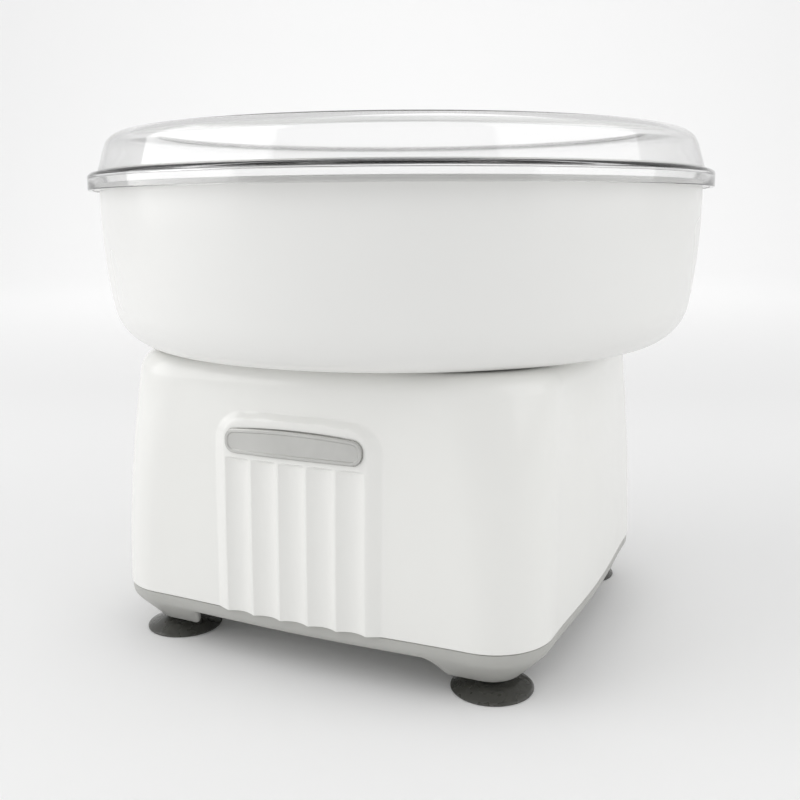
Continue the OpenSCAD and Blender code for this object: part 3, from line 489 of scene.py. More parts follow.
def housing_rows(s):
    """Rows of the housing's skin: up its outside, over the neck and down its inside."""
    # Rises above the seam: even rows up to the flutes' ends, then close ones over the ledge
    close_low, close_high = 66, 94
    rises = [0.6, 1.5, 3] + [3 + (close_low - 3) * k / 18 for k in range(1, 18)]
    rises += [close_low + 0.5 * k for k in range(int((s.flute_top - close_low + 1.5) / 0.5))]
    rises += [s.flute_top + 2 + 0.8 * k for k in range(int((close_high - s.flute_top - 2) / 0.8))]
    shoulder_rise = TOP_Z - SEAM_Z - s.shoulder_radius
    rises += [close_high + (shoulder_rise - close_high) * k / 4 for k in range(4)]
    seam_edge = [(0, 0.5), (0.12, 0.2), (0.3, 0.05)]
    rows = [dict(z=SEAM_Z + up, rise=up, inset=more) for up, more in seam_edge]
    rows += [dict(z=SEAM_Z + rise, rise=rise, inset=0) for rise in rises]
    # The shoulder, from where the leaning wall meets its arc
    start = 4
    for k in range(9):
        a = radians(start + (90 - start) * k / 8)
        drawn = s.shoulder_radius * (cos(radians(start)) - cos(a))
        up = TOP_Z - s.shoulder_radius + s.shoulder_radius * sin(a)
        rows.append(dict(z=up, rise=shoulder_rise, inset=drawn))
    # The flat top, which turns from square to round, the fillet and the neck
    fillet, inner_r = 2, NECK_R - s.wall
    flat = dict(rise=shoulder_rise, inset=s.shoulder_radius)
    rows += [dict(flat, z=TOP_Z, pull=k / 4, ring=NECK_R + fillet) for k in (1, 2, 3, 4)]
    climb = [(NECK_R + fillet - x, z) for x, z in arc(0, TOP_Z + fillet, fillet, -90, 0, 4)][1:]
    climb += [
        (NECK_R, NECK_Z - 2), (NECK_R, NECK_Z - 0.7), (NECK_R - 0.2, NECK_Z - 0.2),
        (NECK_R - 0.7, NECK_Z), (inner_r + 0.5, NECK_Z), (inner_r, NECK_Z - 0.5),
        (inner_r, TOP_Z - s.wall)]
    rows += [dict(flat, z=z, pull=1, ring=x) for x, z in climb]
    # The inside, back down to the seam
    inside = dict(rise=shoulder_rise, hollow=True)
    under = dict(inside, z=TOP_Z - s.wall, inset=s.shoulder_radius, ring=NECK_R)
    rows += [dict(under, pull=p) for p in (0.6, 0.2)]
    small = s.shoulder_radius - s.wall
    for x, z in arc(0, TOP_Z - s.shoulder_radius, small, 90, start, 5):
        rows.append(dict(inside, z=z, inset=s.shoulder_radius - x))
    rows += [dict(z=SEAM_Z + r, rise=r, inset=s.wall, hollow=True) for r in (90, 70, 45, 20, 0)]
    return rows


def housing_point(s, flutes, mark, row):
    """A point of the housing's skin."""
    rise, inset = row["rise"], row["inset"]
    lean = wall_lean(rise)
    radius = max(s.corner_radius + corner_growth(rise) - inset, 2)
    x, y = plan_place(mark, HALF_W - lean - inset, HALF_D - lean - inset, radius, s.side_bulge)
    y += CENTRE_Y
    if mark[0] == "front" and "hollow" not in row and inset < 1:
        y -= panel_relief(s, flutes, x, row["z"])
    return *drawn_round(x, y, row), row["z"]


def panel_stations(s, flutes):
    """Distances from the middle of the front, close together over flutes and bevels."""
    pitch = 2 * s.panel_half / flutes
    chord = pitch / 2 - LAND
    found = [0.0]
    for i in range(flutes):
        middle = (i - (flutes - 1) / 2) * pitch
        found += [middle + chord * (-1 + k / 6) for k in range(13)]
    found += [s.panel_half + LAND + s.panel_bevel * (k / 9 - 0.15) for k in range(13)]
    found += [43.5, 46, 52, 58, 64, 69, 73, 76.5]
    found = sorted({round(abs(x), 3) for x in found})
    return [x for i, x in enumerate(found) if i == 0 or x - found[i - 1] > 0.12]


def model_housing(s, flutes):
    """The housing: one moulded shell with its panel, neck, air slots and rear seats."""
    sides = [0, 10, 20, 30, 40, 48, 55, 61, 66]
    stations = {
        "front": panel_stations(s, flutes), "right": sides,
        "rear": [0, 12, 24, 36, 46, 56, 64, 70, 75], "left": sides}
    marks = marks_round(stations)
    shell = wrapped(marks, housing_rows(s), lambda m, r: housing_point(s, flutes, m, r))
    badge_gap = 0.45
    pocket_y = front_y(s, 0, SEAM_Z + s.badge_low) - s.panel_proud
    pocket = slab(badge_outline(s, badge_gap), pocket_y - 4, pocket_y + 1.5)
    seats, holes = rear_tools()
    carve(shell, join([pocket] + seats), join(holes))
    return shell


def rear_tools():
    """Cutters in the rear wall: the air slots and the seats of the lead inlet and the power
    switch, and then the holes in those seats."""
    rear = HOUSING_HIGH.y
    inside, outside = rear - 16, rear + 6
    gap = 0.3
    slot_w, slot_h, slot_pitch, slot_z = 3, 26, 8, SEAM_Z + 62
    seats, holes = [], []
    for i in range(-3, 4):
        end_r = slot_w / 2
        outline = rounded_box(end_r, slot_h / 2 + end_r, end_r - 0.01, i * slot_pitch, slot_z)
        seats.append(slab(outline, inside, outside))
    low, high = box_mm("inlet_bush")
    middle, bush_r = (low + high) / 2, (high.x - low.x) / 2
    flange, lip = 2.4, 2.4
    seat_y = high.y - flange
    seats.append(slab(ring_of(middle.x, middle.z, bush_r + gap), seat_y, outside))
    holes.append(slab(ring_of(middle.x, middle.z, bush_r - lip), inside, seat_y + 0.5))
    low, high = box_mm("switch_frame")
    middle, half = (low + high) / 2, (high - low) / 2
    place = (middle.x, middle.z)
    lip = 1.75
    seats.append(slab(rounded_box(half.x + gap, half.z + gap, 1.8, *place), seat_y, outside))
    holes.append(slab(rounded_box(half.x - lip, half.z - lip, 0.8, *place), inside, seat_y + 0.5))
    return seats, holes


def model_badge(s):
    """The blank badge: a crowned plate with a raised rim, bent to the panel."""
    # Its back stands this far behind the flutes' crests
    behind = 1.2
    thick, squeeze = 2.6, 0.96
    badge = slab(badge_outline(s), 0, thick)
    with editing(badge, "FACE"):
        pick_faces(badge, lambda middle, normal: normal.y < -0.9)
        bpy.ops.mesh.inset(thickness=0.45 * MM, depth=0.4 * MM)
        bpy.ops.mesh.inset(thickness=0.9 * MM)
        bpy.ops.mesh.inset(thickness=0.4 * MM, depth=-0.45 * MM)
        bpy.ops.mesh.inset(thickness=0.5 * MM)
    # Cut into strips, so that it can be bent, and laid against the wall
    strip = 3
    reach = int(s.badge_half // strip)
    for k in range(-reach, reach + 1):
        with editing(badge):
            bpy.ops.mesh.bisect(plane_co=(k * strip * MM, 0, 0), plane_no=(1, 0, 0))
    for vertex in badge.data.vertices:
        x, y, z = vertex.co / MM
        crest = front_y(s, x, z) - s.panel_proud
        vertex.co = Vector((x, crest + (y - thick) * squeeze + behind, z)) * MM
    close_up(badge)
    return badge


# ---- Base and feet ---------------------------------------------------------------------

FOOT_TOP_Z = 7
LEG_START = 49.5
LEG_REACH = 9


def leg_share(mark):
    """0 where the base's edge is plain, 1 where it comes down as the skirt of a leg."""
    side, t = mark
    if side not in STRAIGHT:
        return 1.0
    return ease((abs(t) - (HALVES[side] - LEG_START)) / LEG_REACH)


def base_rows():
    """Rows of the base: from the middle of its underside, out and over, to its top side.
    Each row has (inset, height) for the plain edge and for a leg."""
    low, plate_z, top = UNDER_Z, UNDER_Z + 2.5, SEAM_Z - 0.3
    tip = FOOT_TOP_Z
    # Inside of the leg's skirt, from the underside down to its tip
    leg = [(9.5, low), (8.2, low - 0.2), (7.4, low - 0.9)]
    leg += [(7.4 + 8.4 * k / 6, low - 0.9 - 8.4 * k / 6) for k in range(1, 7)]
    leg += [(15.6, tip + 0.7), (15.1, tip + 0.15), (14.4, tip), (13.7, tip + 0.05)]
    leg += [(13.1, tip + 0.35)]
    # Outside of the skirt, up to the band
    leg += [(12.6 - 9.7 * k / 7, tip + 0.9 + 9.7 * k / 7) for k in range(8)]
    leg += [(2.1, low + 0.5), (1.3, low + 1.4), (0.65, low + 2.4), (0.2, low + 3.5), (0, low + 4.7)]
    # The plain edge has as many rows: a flat stretch and a quarter round
    edge_r = 4.6
    bend = arc(edge_r, low + edge_r, edge_r, -90, -180, 12)
    flat = len(leg) - len(bend)
    plain = [(9.5 - (9.5 - edge_r) * k / flat, low) for k in range(flat)] + bend
    under = dict(plain=(16, low), leg=(22, low))
    over = dict(plain=(16, plate_z), leg=(16, plate_z))
    middle, hub = dict(pull=1, ring=0), 30
    rows = [dict(under, **middle)] + [dict(under, pull=p, ring=hub) for p in (1, 0.6, 0.25, 0)]
    rows += [dict(plain=p, leg=q) for p, q in zip(plain, leg)]
    band = [(0, top - 0.5), (0.15, top - 0.15), (0.5, top), (2, top), (2.4, top - 0.3), (2.4, plate_z)]
    rows += [dict(plain=p, leg=p) for p in band]
    return rows + [dict(over, pull=p, ring=hub) for p in (0, 0.5, 1)] + [dict(over, **middle)]


def base_point(s, mark, row):
    """A point of the base's skin."""
    share = leg_share(mark)
    inset, z = [p + (q - p) * share for p, q in zip(row["plain"], row["leg"])]
    inset += BASE_INSET
    radius = max(s.corner_radius - inset, 1.5)
    x, y = plan_place(mark, HALF_W - inset, HALF_D - inset, radius, s.side_bulge)
    return *drawn_round(x, y + CENTRE_Y, row), z


def model_base(s):
    """The base: a tray with four skirted legs, foot bosses, screw pockets and air slots."""
    stations = {}
    for side, half in HALVES.items():
        start = half - LEG_START
        stations[side] = [0, 10, 20, 30, 40, 48] + [start + x for x in range(-1, LEG_REACH + 2)]
        stations[side] += [start + 13, start + 17]
    marks = marks_round(stations)
    base = wrapped(marks, base_rows(), lambda m, r: base_point(s, m, r), closed=False)
    bury = UNDER_Z + 1
    bosses = []
    outline = [(0, FOOT_TOP_Z), (6.1, FOOT_TOP_Z), (6.5, FOOT_TOP_Z + 0.4), (7.3, bury), (0, bury)]
    for node in FOOT_NODES:
        bosses.append(spun(outline, 40, middle_of(node)[:2]))
    spots = screw_spots("base_screws")
    bosses += [slab(ring_of(*spot, 6.5, 32), bury, UNDER_Z + 6, "z") for spot in spots]
    carve(base, join(bosses), operation="UNION")
    pockets = [slab(ring_of(*spot, 4.1, 32), UNDER_Z - 4, UNDER_Z + 3, "z") for spot in spots]
    holes = [slab(ring_of(*spot, 1.8, 24), UNDER_Z + 2, UNDER_Z + 9, "z") for spot in spots]
    vents = 12
    for k in range(vents):
        vent = slab(rounded_box(10.5, 1.5, 1.49, 24, 0), UNDER_Z - 2, UNDER_Z + 5, "z")
        vent.data.transform(Matrix.Rotation(2 * pi * k / vents, 4, "Z"))
        pockets.append(vent)
    carve(base, join(pockets), join(holes))
    return base


def middle_of(node):
    """The middle of a CAD node's box, as x, y and z in millimetres."""
    low, high = box_mm(node)
    return [(p + q) / 2 for p, q in zip(low, high)]


def screw_spots(node):
    """Where the separate screws of a CAD node stand, found from its loose parts."""
    twin = frame["nodes"][node].copy()
    twin.data = twin.data.copy()
    for key in list(twin.keys()):
        del twin[key]
    twin.parent = None
    bpy.context.scene.collection.objects.link(twin)
    with editing(twin):
        bpy.ops.mesh.remove_doubles(threshold=0.01 * MM)
    spots = set()
    mesh = bmesh.new()
    mesh.from_mesh(twin.data)
    left = set(mesh.verts)
    while left:
        part, todo = [], [left.pop()]
        while todo:
            vertex = todo.pop()
            part.append(vertex.co / MM)
            for edge in vertex.link_edges:
                other = edge.other_vert(vertex)
                if other in left:
                    left.discard(other)
                    todo.append(other)
        xs, ys = [p.x for p in part], [p.y for p in part]
        spots.add((round((min(xs) + max(xs)) / 2, 2), round((min(ys) + max(ys)) / 2, 2)))
    mesh.free()
    bpy.data.objects.remove(twin)
    return sorted(spots)


def model_foot(x, y):
    """A suction foot: a thin flared cup with a beaded rim, a neck and a stem with a bulb."""
    cup = [(k / 14, sin(pi / 2 * k / 14)) for k in range(15)]
    outside = [(17.6 - 11.7 * u, 1.1 + 3.7 * v) for u, v in cup]
    inside = [(17 * u, 0.35 + 2.6 * cos(pi / 2 * u)) for u, v in cup]
    outline = [(0, 2.95)] + inside[1:-1] + [(16.9, 0.1), (17.3, 0), (17.8, 0.1), (18, 0.4), (17.95, 0.8)]
    outline += outside + [(5.6, 5.4), (5.5, FOOT_TOP_Z), (3.4, FOOT_TOP_Z), (3.4, 20.5), (4.8, 20.6)]
    outline += [(4.8, 21.6), (4.2, 22.6), (2.4, 24.5), (0, 24.5)]
    return spun(outline, 72, (x, y))


# ---- Bowl, guard and spinner head ------------------------------------------------------


def bowl_wall_path(inset):
    """The bowl's wall from its floor to its rim: a rounded edge and a wall of very large radius."""
    belly_r, edge_r = 278, 23.65
    rim = 2.8
    bowl_r = BOWL_HIGH.x - rim
    belly_z = BOWL_HIGH.z - 9.9
    meet = -asin((belly_z - BOWL_LOW.z - edge_r) / (belly_r - edge_r))
    edge_x = bowl_r - belly_r + (belly_r - edge_r) * cos(meet)
    edge = arc(edge_x, BOWL_LOW.z + edge_r, edge_r - inset, -90, degrees(meet), 18)
    top = degrees(asin((BOWL_HIGH.z - 2.6 - belly_z) / belly_r))
    return edge + arc(bowl_r - belly_r, belly_z, belly_r - inset, degrees(meet), top, 12)[1:]


def model_bowl(s):
    """The bowl: thin, softly rolled at its edge, with a rim and a collar round its hole."""
    hole = 53
    rim_r, rim_z = BOWL_HIGH.x, BOWL_HIGH.z
    outer = bowl_wall_path(0)
    inner = bowl_wall_path(s.bowl_wall)[::-1]
    collar = rounded([
        (hole + s.bowl_wall + 9, BOWL_LOW.z + s.bowl_wall), (hole + s.bowl_wall, BOWL_LOW.z + s.bowl_wall, 4),
        (hole + s.bowl_wall, BOWL_LOW.z + 11, 1.1), (hole, BOWL_LOW.z + 11, 1.1), (hole, BOWL_LOW.z, 0.8),
        (hole + 9, BOWL_LOW.z)])
    rim = rounded([
        outer[-1], (outer[-1][0] + 0.2, rim_z - 2.4, 0.1), (rim_r, rim_z - 2.4, 0.6), (rim_r, rim_z, 0.9),
        (inner[0][0], rim_z, 0.9), inner[0]])
    return spun(outer[1:-1] + rim + inner[1:-1] + collar, 180)


def model_guard(s):
    """The clear guard: a skirt over the bowl's rim, a step, a leaning wall and a rolled-in top."""
    low, high = GUARD_LOW.z, GUARD_HIGH.z
    step_z = BOWL_HIGH.z + 5.2
    wall_r = GUARD_HIGH.x - 4.5
    mouth = 118
    edge = GUARD_HIGH.x - 0.01
    t = s.guard_wall
    out = [
        (edge, low, 0.5), (edge, step_z, 2.4), (wall_r, step_z, 1.2),
        (wall_r - 5.4, high, 9), (mouth, high, 0.9)]
    back = [
        (mouth, high - t, 0.9), (wall_r - t - 5, high - t, 7), (wall_r - t, step_z - t, 1),
        (edge - t, step_z - t, 1), (edge - t, low, 0.5)]
    return spun(rounded(out + back, 8), 180)


def model_head_cap():
    """The spinner head's cap: a shallow cone with a rolled mouth."""
    low, high = box_mm("head_cap")
    edge, z = high.x, low.z
    mouth = 16
    rise = high.z - z - 1
    t = 1.6
    outline = rounded([
        (edge - 2.4, z), (edge, z, 0.3), (edge, z + 2, 1.2), (mouth + 4, z + rise, 6), (mouth, high.z, 0.7),
        (mouth, high.z - t, 0.5), (mouth + 4, z + rise - t, 5), (edge - 2.4, z + 1, 0.5)])
    return spun(outline, 120)


def model_head_pan():
    """The spinner head's pan: a turned cup with a hub bored for the motor shaft."""
    low, high = box_mm("head_pan")
    edge, wall = high.x, 2.4
    under_z, floor_z, rim_z = 156, 156 + 2.2, 162
    hub, bore = 7, 3.04
    outline = rounded([
        (bore, low.z), (hub + 1, low.z, 0.5), (hub + 1, under_z, 0.8), (edge, under_z, 2.2),
        (edge, rim_z, 0.3), (edge - wall, rim_z, 0.3), (edge - wall, floor_z, 2),
        (hub, floor_z, 2), (hub, high.z, 0.6), (bore, high.z)])
    return spun(outline, 120)


def model_screw(head_r, head_h, shank_r, shank):
    """A cross-head screw standing on its head's seat at the origin, its shank pointing down."""
    crown = arc(0, -1.2 * head_r, sqrt(head_r ** 2 + (1.2 * head_r) ** 2), 90 - 39.8, 90, 6)
    top = crown[-1][1]
    dome = [(x, head_h * z / top) for x, z in crown]
    outline = [(0, -shank), (shank_r * 0.6, -shank), (shank_r, -shank + 1), (shank_r, 0), (head_r, 0)]
    screw = spun(outline + [(head_r, 0.12 * head_h)] + dome[1:], 32)
    arm, width = 0.62 * head_r, 0.2 * head_r
    halves = ((arm, width), (width, arm))
    cuts = [slab(rounded_box(*half, 0.05), head_h * 0.45, head_h + 1, "z") for half in halves]
    carve(screw, *cuts)
    return screw


def place_screws(node, screw, seat_z, upward):
    """Copies of a screw where the CAD node's screws stand, made one piece."""
    flip = Matrix.Identity(4) if upward else Matrix.Rotation(pi, 4, "X")
    copies = []
    for i, (x, y) in enumerate(screw_spots(node)):
        turn = Matrix.Rotation(0.7 * i + 0.3, 4, "Z")
        copies.append(copy_of(screw, Matrix.Translation(Vector((x, y, seat_z)) * MM) @ turn @ flip))
    bpy.data.objects.remove(screw)
    return join(copies)


# ---- Rear fittings ---------------------------------------------------------------------


# Thickness of the switch's bezel
BEZEL = 2.2


def model_switch_frame():
    """The switch's frame: a rounded bezel round an open well."""
    low, high = box_mm("switch_frame")
    x, _, z = middle_of("switch_frame")
    half_x, half_z = (high.x - low.x) / 2, (high.z - low.z) / 2
    seat = high.y - BEZEL
    bezel = slab(rounded_box(half_x, half_z, 1.6, x, z), seat, high.y)
    with editing(bezel, "FACE"):
        pick_faces(bezel, lambda middle, normal: normal.y > 0.9)
        # A loop just inside the edge, which keeps the flat face's shading flat
        bpy.ops.mesh.inset(thickness=0.6 * MM, depth=0)
    shape(bezel, "BEVEL", width=0.5 * MM, segments=3, limit_method="ANGLE", angle_limit=radians(40))
    body = slab(rounded_box(half_x - 1.8, half_z - 1.8, 0.6, x, z), low.y, seat + 0.8)
    carve(bezel, body, operation="UNION")
    well = slab(rounded_box(half_x - 3.2, half_z - 3.2, 0.5, x, z), seat - 8, high.y + 4)
    carve(bezel, well)
    return bezel


def model_rocker():
    """The rocker: a shallow V face with soft edges, two pivots, and a bar and a ring as marks."""
    low, high = box_mm("switch_frame")
    x, z = middle_of("switch_rocker")[0], middle_of("switch_frame")[2]
    pivot_y = high.y - BEZEL - 2.5
    inside, swing_gap = 3.5, 0.8
    half = (high.x - low.x) / 2 - inside
    tip = (high.z - low.z) / 2 - inside - swing_gap
    tilt = 8
    face = [(4.6, -tip), (4.0, -tip * 0.5), (3.4, 0), (4.0, tip * 0.5), (4.6, tip)]
    rocker = slab([(-2.6, -tip + 2.2)] + face + [(-2.6, tip - 2.2)], -half, half, "x")
    shape(rocker, "BEVEL", width=0.45 * MM, segments=3, limit_method="ANGLE", angle_limit=radians(35))
    pivots = slab(ring_of(0, 0, 1.2, 24), -half - 0.9, half + 0.9, "x")
    carve(rocker, pivots, operation="UNION")
    on_mark = slab(rounded_box(0.4, 1.7, 0.35, 0, -tip * 0.55), 3.2, 4.25)
    ring = add_primitive(
        "torus", major_radius=1.5 * MM, minor_radius=0.4 * MM, major_segments=28, minor_segments=10,
        rotation=(pi / 2, 0, 0), location=(0, 3.95 * MM, tip * 0.55 * MM))
    marks = join([on_mark, ring])
    place = Matrix.Translation(Vector((x, pivot_y, z)) * MM) @ Matrix.Rotation(radians(-tilt), 4, "X")
    select_only(marks)
    bpy.ops.object.transform_apply(location=True, rotation=True, scale=True)
    for piece in (rocker, marks):
        piece.data.transform(place)
    return rocker, marks


def model_inlet_bush():
    """The lead inlet's bush: a coned flange, a plain round body and a smooth round bore."""
    low, high = box_mm("inlet_bush")
    x, _, z = middle_of("inlet_bush")
    flange = (high.x - low.x) / 2
    depth = high.y - low.y
    body, bore = flange - 2.6, flange - 5
    back = depth - 2.4
    outline = rounded([
        (bore, 0, 0.4), (body, 0, 0.5), (body, back), (flange, back, 0.4), (flange - 1, depth, 0.6),
        (bore, depth, 0.9)])
    bush = spun(outline, 64)
    place = Matrix.Translation(Vector((x, low.y, z)) * MM) @ Matrix.Rotation(-pi / 2, 4, "X")
    bush.data.transform(place)
    return bush


# ---- Finishes --------------------------------------------------------------------------


def add_node(tree, kind, settings=None, links=None):
    """Adds a node, sets its properties and sockets, and joins its inputs to outputs."""
    node = tree.nodes.new(kind)
    for key, value in (settings or {}).items():
        if isinstance(key, str) and hasattr(node, key):
            setattr(node, key, value)
        else:
            node.inputs[key].default_value = value
    for key, source in (links or {}).items():
        tree.links.new(source, node.inputs[key])
    return node


def start_material(name, **sockets):
    """A material with its shader's sockets set, and its tree, shader and coordinates."""
    material = bpy.data.materials.new(name)
    material.use_nodes = True
    tree = material.node_tree
    shader = tree.nodes["Principled BSDF"]
    for key, value in sockets.items():
        shader.inputs[key.replace("_", " ")].default_value = value
    place = add_node(tree, "ShaderNodeTexCoord")
    return material, tree, shader, place.outputs["Object"]


def per_mm(feature):
    """Texture scale that gives features of this size in millimetres."""
    return 1 / (feature * MM)


def noise(tree, place, size, detail, **more):
    """A noise texture with features of this size in millimetres."""
    settings = {"Scale": per_mm(size), "Detail": detail, **more}
    return add_node(tree, "ShaderNodeTexNoise", settings, {"Vector": place})


def two_tones(tree, tones, texture):
    """A colour that follows a texture from one tone to the other."""
    settings = {"data_type": "RGBA", 6: tones[0], 7: tones[1]}
    return add_node(tree, "ShaderNodeMix", settings, {0: texture.outputs["Fac"]}).outputs[2]


def dress(tree, shader, tone, gloss, relief):
    """Joins a shader to its tone, gloss and relief. gloss is a texture, the span of its values
    and the roughness at each end. relief is a texture, a strength and a depth in millimetres."""
    texture, (low, high), (smooth, rough) = gloss
    settings = {"From Min": low, "From Max": high, "To Min": smooth, "To Max": rough}
    roughness = add_node(tree, "ShaderNodeMapRange", settings, {"Value": texture.outputs["Fac"]})
    texture, strength, depth = relief
    settings = {"Strength": strength, "Distance": depth * MM}
    bump = add_node(tree, "ShaderNodeBump", settings, {"Height": texture.outputs["Fac"]})
    if tone is not None:
        tree.links.new(tone, shader.inputs["Base Color"])
    tree.links.new(roughness.outputs["Result"], shader.inputs["Roughness"])
    tree.links.new(bump.outputs["Normal"], shader.inputs["Normal"])


# Spans of a texture's values: all of them, and those that a noise mostly takes
WHOLE = (0, 1)
MOSTLY = (0.3, 0.7)


def moulded(name, tones, gloss, grain, depth, drift=45, **sockets):
    """Moulded plastic. Two near tones drift through it, its gloss varies between two
    roughnesses, and the mould's grain stands in relief. Sizes are millimetres."""
    material, tree, shader, place = start_material(name, **sockets)
    broad = noise(tree, place, drift, 2.0)
    tone = two_tones(tree, tones, broad)
    fine = noise(tree, place, grain, 3.0, Roughness=0.55)
    dress(tree, shader, tone, (broad, MOSTLY, gloss), (fine, 1.0, depth))
    return material


def lined_metal(name, tones, gloss, line, depth, direction, **sockets):
    """Metal with tool lines: rings about the upright axis, or straight lines along one axis.
    line is the lines' spacing and depth their relief, in millimetres."""
    material, tree, shader, place = start_material(name, Metallic=1.0, **sockets)
    wave_turn = 2 * pi / 20
    settings = {"Scale": wave_turn * per_mm(line), "Distortion": 0.6, "Detail": 2.0, "Detail Scale": 1.5}
    if direction == "rings":
        settings.update(wave_type="RINGS", rings_direction="Z")
    else:
        settings.update(wave_type="BANDS", bands_direction=direction)
    wave = add_node(tree, "ShaderNodeTexWave", settings, {"Vector": place})
    broad = noise(tree, place, 9, 4.0)
    tone = two_tones(tree, tones, broad)
    dress(tree, shader, tone, (broad, MOSTLY, gloss), (wave, 0.6, depth))
    return material


def pair(first, second):
    """Two tones from sRGB hex codes."""
    return linear(first), linear(second)


def tones_of(rgb, dim=0.94):
    """A colour and a slightly dimmer one of the same hue."""
    return tuple(rgb) + (1.0,), tuple(c * dim for c in rgb) + (1.0,)


def glossy_white_abs(rgb):
    """ABS from a polished mould: bright, with sharp reflections that waver very slightly
    where the surface has shrunk. Orange-peel is drawn at 3 mm, coarser than the real one."""
    return moulded("glossy_white_abs", tones_of(rgb, 0.985), (0.13, 0.2), 3.0, 0.0035, IOR=1.54)


def satin_white_polypropylene(rgb):
    """Polypropylene from a fine-blasted mould: a soft, waxy sheen over a faint flow pattern."""
    return moulded("satin_white_polypropylene", tones_of(rgb, 0.975), (0.22, 0.28), 4.0, 0.0003, 70, IOR=1.49)


def grained_grey_abs(rgb):
    """ABS from a spark-eroded mould: an even satin grey with a fine leathery grain."""
    return moulded("grained_grey_abs", tones_of(rgb, 0.93), (0.36, 0.5), 0.9, 0.02, IOR=1.54)


def metallised_abs_badge(rgb):
    """Metal paint on ABS: a dull silver that brightens and dims across its fine flake."""
    material = moulded("metallised_abs_badge", tones_of(rgb, 0.84), (0.3, 0.42), 0.5, 0.012, 12, IOR=1.5)
    material.node_tree.nodes["Principled BSDF"].inputs["Metallic"].default_value = 0.75
    return material


def smoky_soft_pvc(rgb):
    """Plasticised PVC: dark, slightly see-through and wet-looking, duller in broad patches."""
    return moulded(
        "smoky_soft_pvc", tones_of(rgb, 0.7), (0.16, 0.34), 2.4, 0.004, 8, IOR=1.53,
        Transmission_Weight=0.35)


def clear_acrylic():
    """Injection-moulded acrylic: clear and very glossy, with faint flow waves from the gate
    that bend what is seen through it."""
    material, tree, shader, place = start_material(
        "clear_acrylic", IOR=1.49, Transmission_Weight=1.0)
    shader.inputs["Base Color"].default_value = linear("#fefefe")
    flow = noise(tree, place, 26, 1.5)
    dress(tree, shader, None, (flow, WHOLE, (0.02, 0.07)), (flow, 0.5, 0.06))
    return material


def black_nylon():
    """Glass-filled nylon: a dry black with a fine speckle where the fibres reach the skin."""
    return moulded("black_nylon", pair("#232324", "#2e2e2f"), (0.42, 0.6), 0.4, 0.015, 14, IOR=1.53)


def glossy_black_abs():
    """Polished black ABS, as on a rocker: deep, with a clean highlight and light handling haze."""
    return moulded("glossy_black_abs", pair("#18181a", "#202022"), (0.14, 0.26), 1.6, 0.004, 9, IOR=1.54)


def white_pad_print():
    """White print on the rocker, a little chalky at its edges."""
    return moulded("white_pad_print", pair("#ecebe6", "#dddcd6"), (0.4, 0.55), 0.3, 0.006, 3, IOR=1.5)


def black_grommet_rubber():
    """Moulded rubber: dull black with a grey bloom."""
    return moulded("black_grommet_rubber", pair("#1c1c1c", "#2c2b2a"), (0.62, 0.8), 0.5, 0.02, 5, IOR=1.52)


def natural_nylon():
    """Unpigmented nylon: milky ivory with a waxy sheen and cloudy flow marks."""
    return moulded("natural_nylon", pair("#e6e0cf", "#d9d1bc"), (0.34, 0.48), 0.8, 0.01, 11, IOR=1.53)


def lead_pvc():
    """Extruded PVC insulation: soft grey-white with fine die lines and handling marks."""
    return moulded("lead_pvc", pair("#d8d6cf", "#c4c1b8"), (0.38, 0.52), 0.5, 0.01, 7, IOR=1.53)


def glazed_steatite():
    """Steatite ceramic: warm white, faintly speckled, with a thin uneven glaze."""
    return moulded("glazed_steatite", pair("#eee7da", "#d9cfbf"), (0.22, 0.5), 0.9, 0.02, 4, IOR=1.6)


def fibreglass_board():
    """Epoxy board under green lacquer: the glass weave shows as a fine check."""
    material, tree, shader, place = start_material("fibreglass_board", IOR=1.55)
    check = add_node(tree, "ShaderNodeTexChecker", {
        "Scale": per_mm(0.7), "Color1": linear("#2f6b43"), "Color2": linear("#27603b")}, {"Vector": place})
    stain = noise(tree, place, 6, 3.0)
    dress(tree, shader, check.outputs["Color"], (stain, WHOLE, (0.2, 0.4)), (check, 0.4, 0.01))
    return material


def spun_aluminium():
    """Turned sheet aluminium: pale, with fine rings left by the tool, drawn at 0.8 mm."""
    return lined_metal("spun_aluminium", pair("#d6d8da", "#c2c5c8"), (0.24, 0.36), 0.8, 0.012, "rings")


def zinc_plated_steel():
    """Zinc plate over steel: a bluish bright grey with a faint yellow cast in patches."""
    return lined_metal("zinc_plated_steel", pair("#c3c8cc", "#bdb8a4"), (0.22, 0.38), 0.6, 0.008, "rings")


def drawn_motor_steel():
    """Deep-drawn steel can: grey with upright drawing lines."""
    return lined_metal("drawn_motor_steel", pair("#9fa3a6", "#878b8f"), (0.3, 0.46), 1.2, 0.01, "X")


def ground_steel():
    """Ground shaft steel: bright, with very fine rings round it."""
    return lined_metal("ground_steel", pair("#d2d3d4", "#bcbec0"), (0.12, 0.24), 0.5, 0.004, "Z")


def stacked_laminations():
    """Armature stampings: dark steel sheets on edge, a line every 0.7 mm."""
    return lined_metal("stacked_laminations", pair("#6f7173", "#55585b"), (0.4, 0.58), 0.7, 0.05, "Z")


def oxidised_heater_sheath():
    """Nickel-alloy heater tube that has been hot: bronze-brown and straw oxide over grey."""
    return lined_metal("oxidised_heater_sheath", pair("#7d7468", "#4d4a48"), (0.34, 0.56), 1.5, 0.01, "Z")


def sintered_bronze():
    """Oil-soaked sintered bronze: brown-gold and grainy."""
    return lined_metal("sintered_bronze", pair("#a87d48", "#8a6437"), (0.38, 0.54), 0.5, 0.01, "rings")


def wound_copper():
    """Enamelled copper wire: red-gold turns lying side by side every 0.6 mm."""
    return lined_metal("wound_copper", pair("#b5683a", "#8f4c28"), (0.2, 0.34), 0.6, 0.12, "Z")


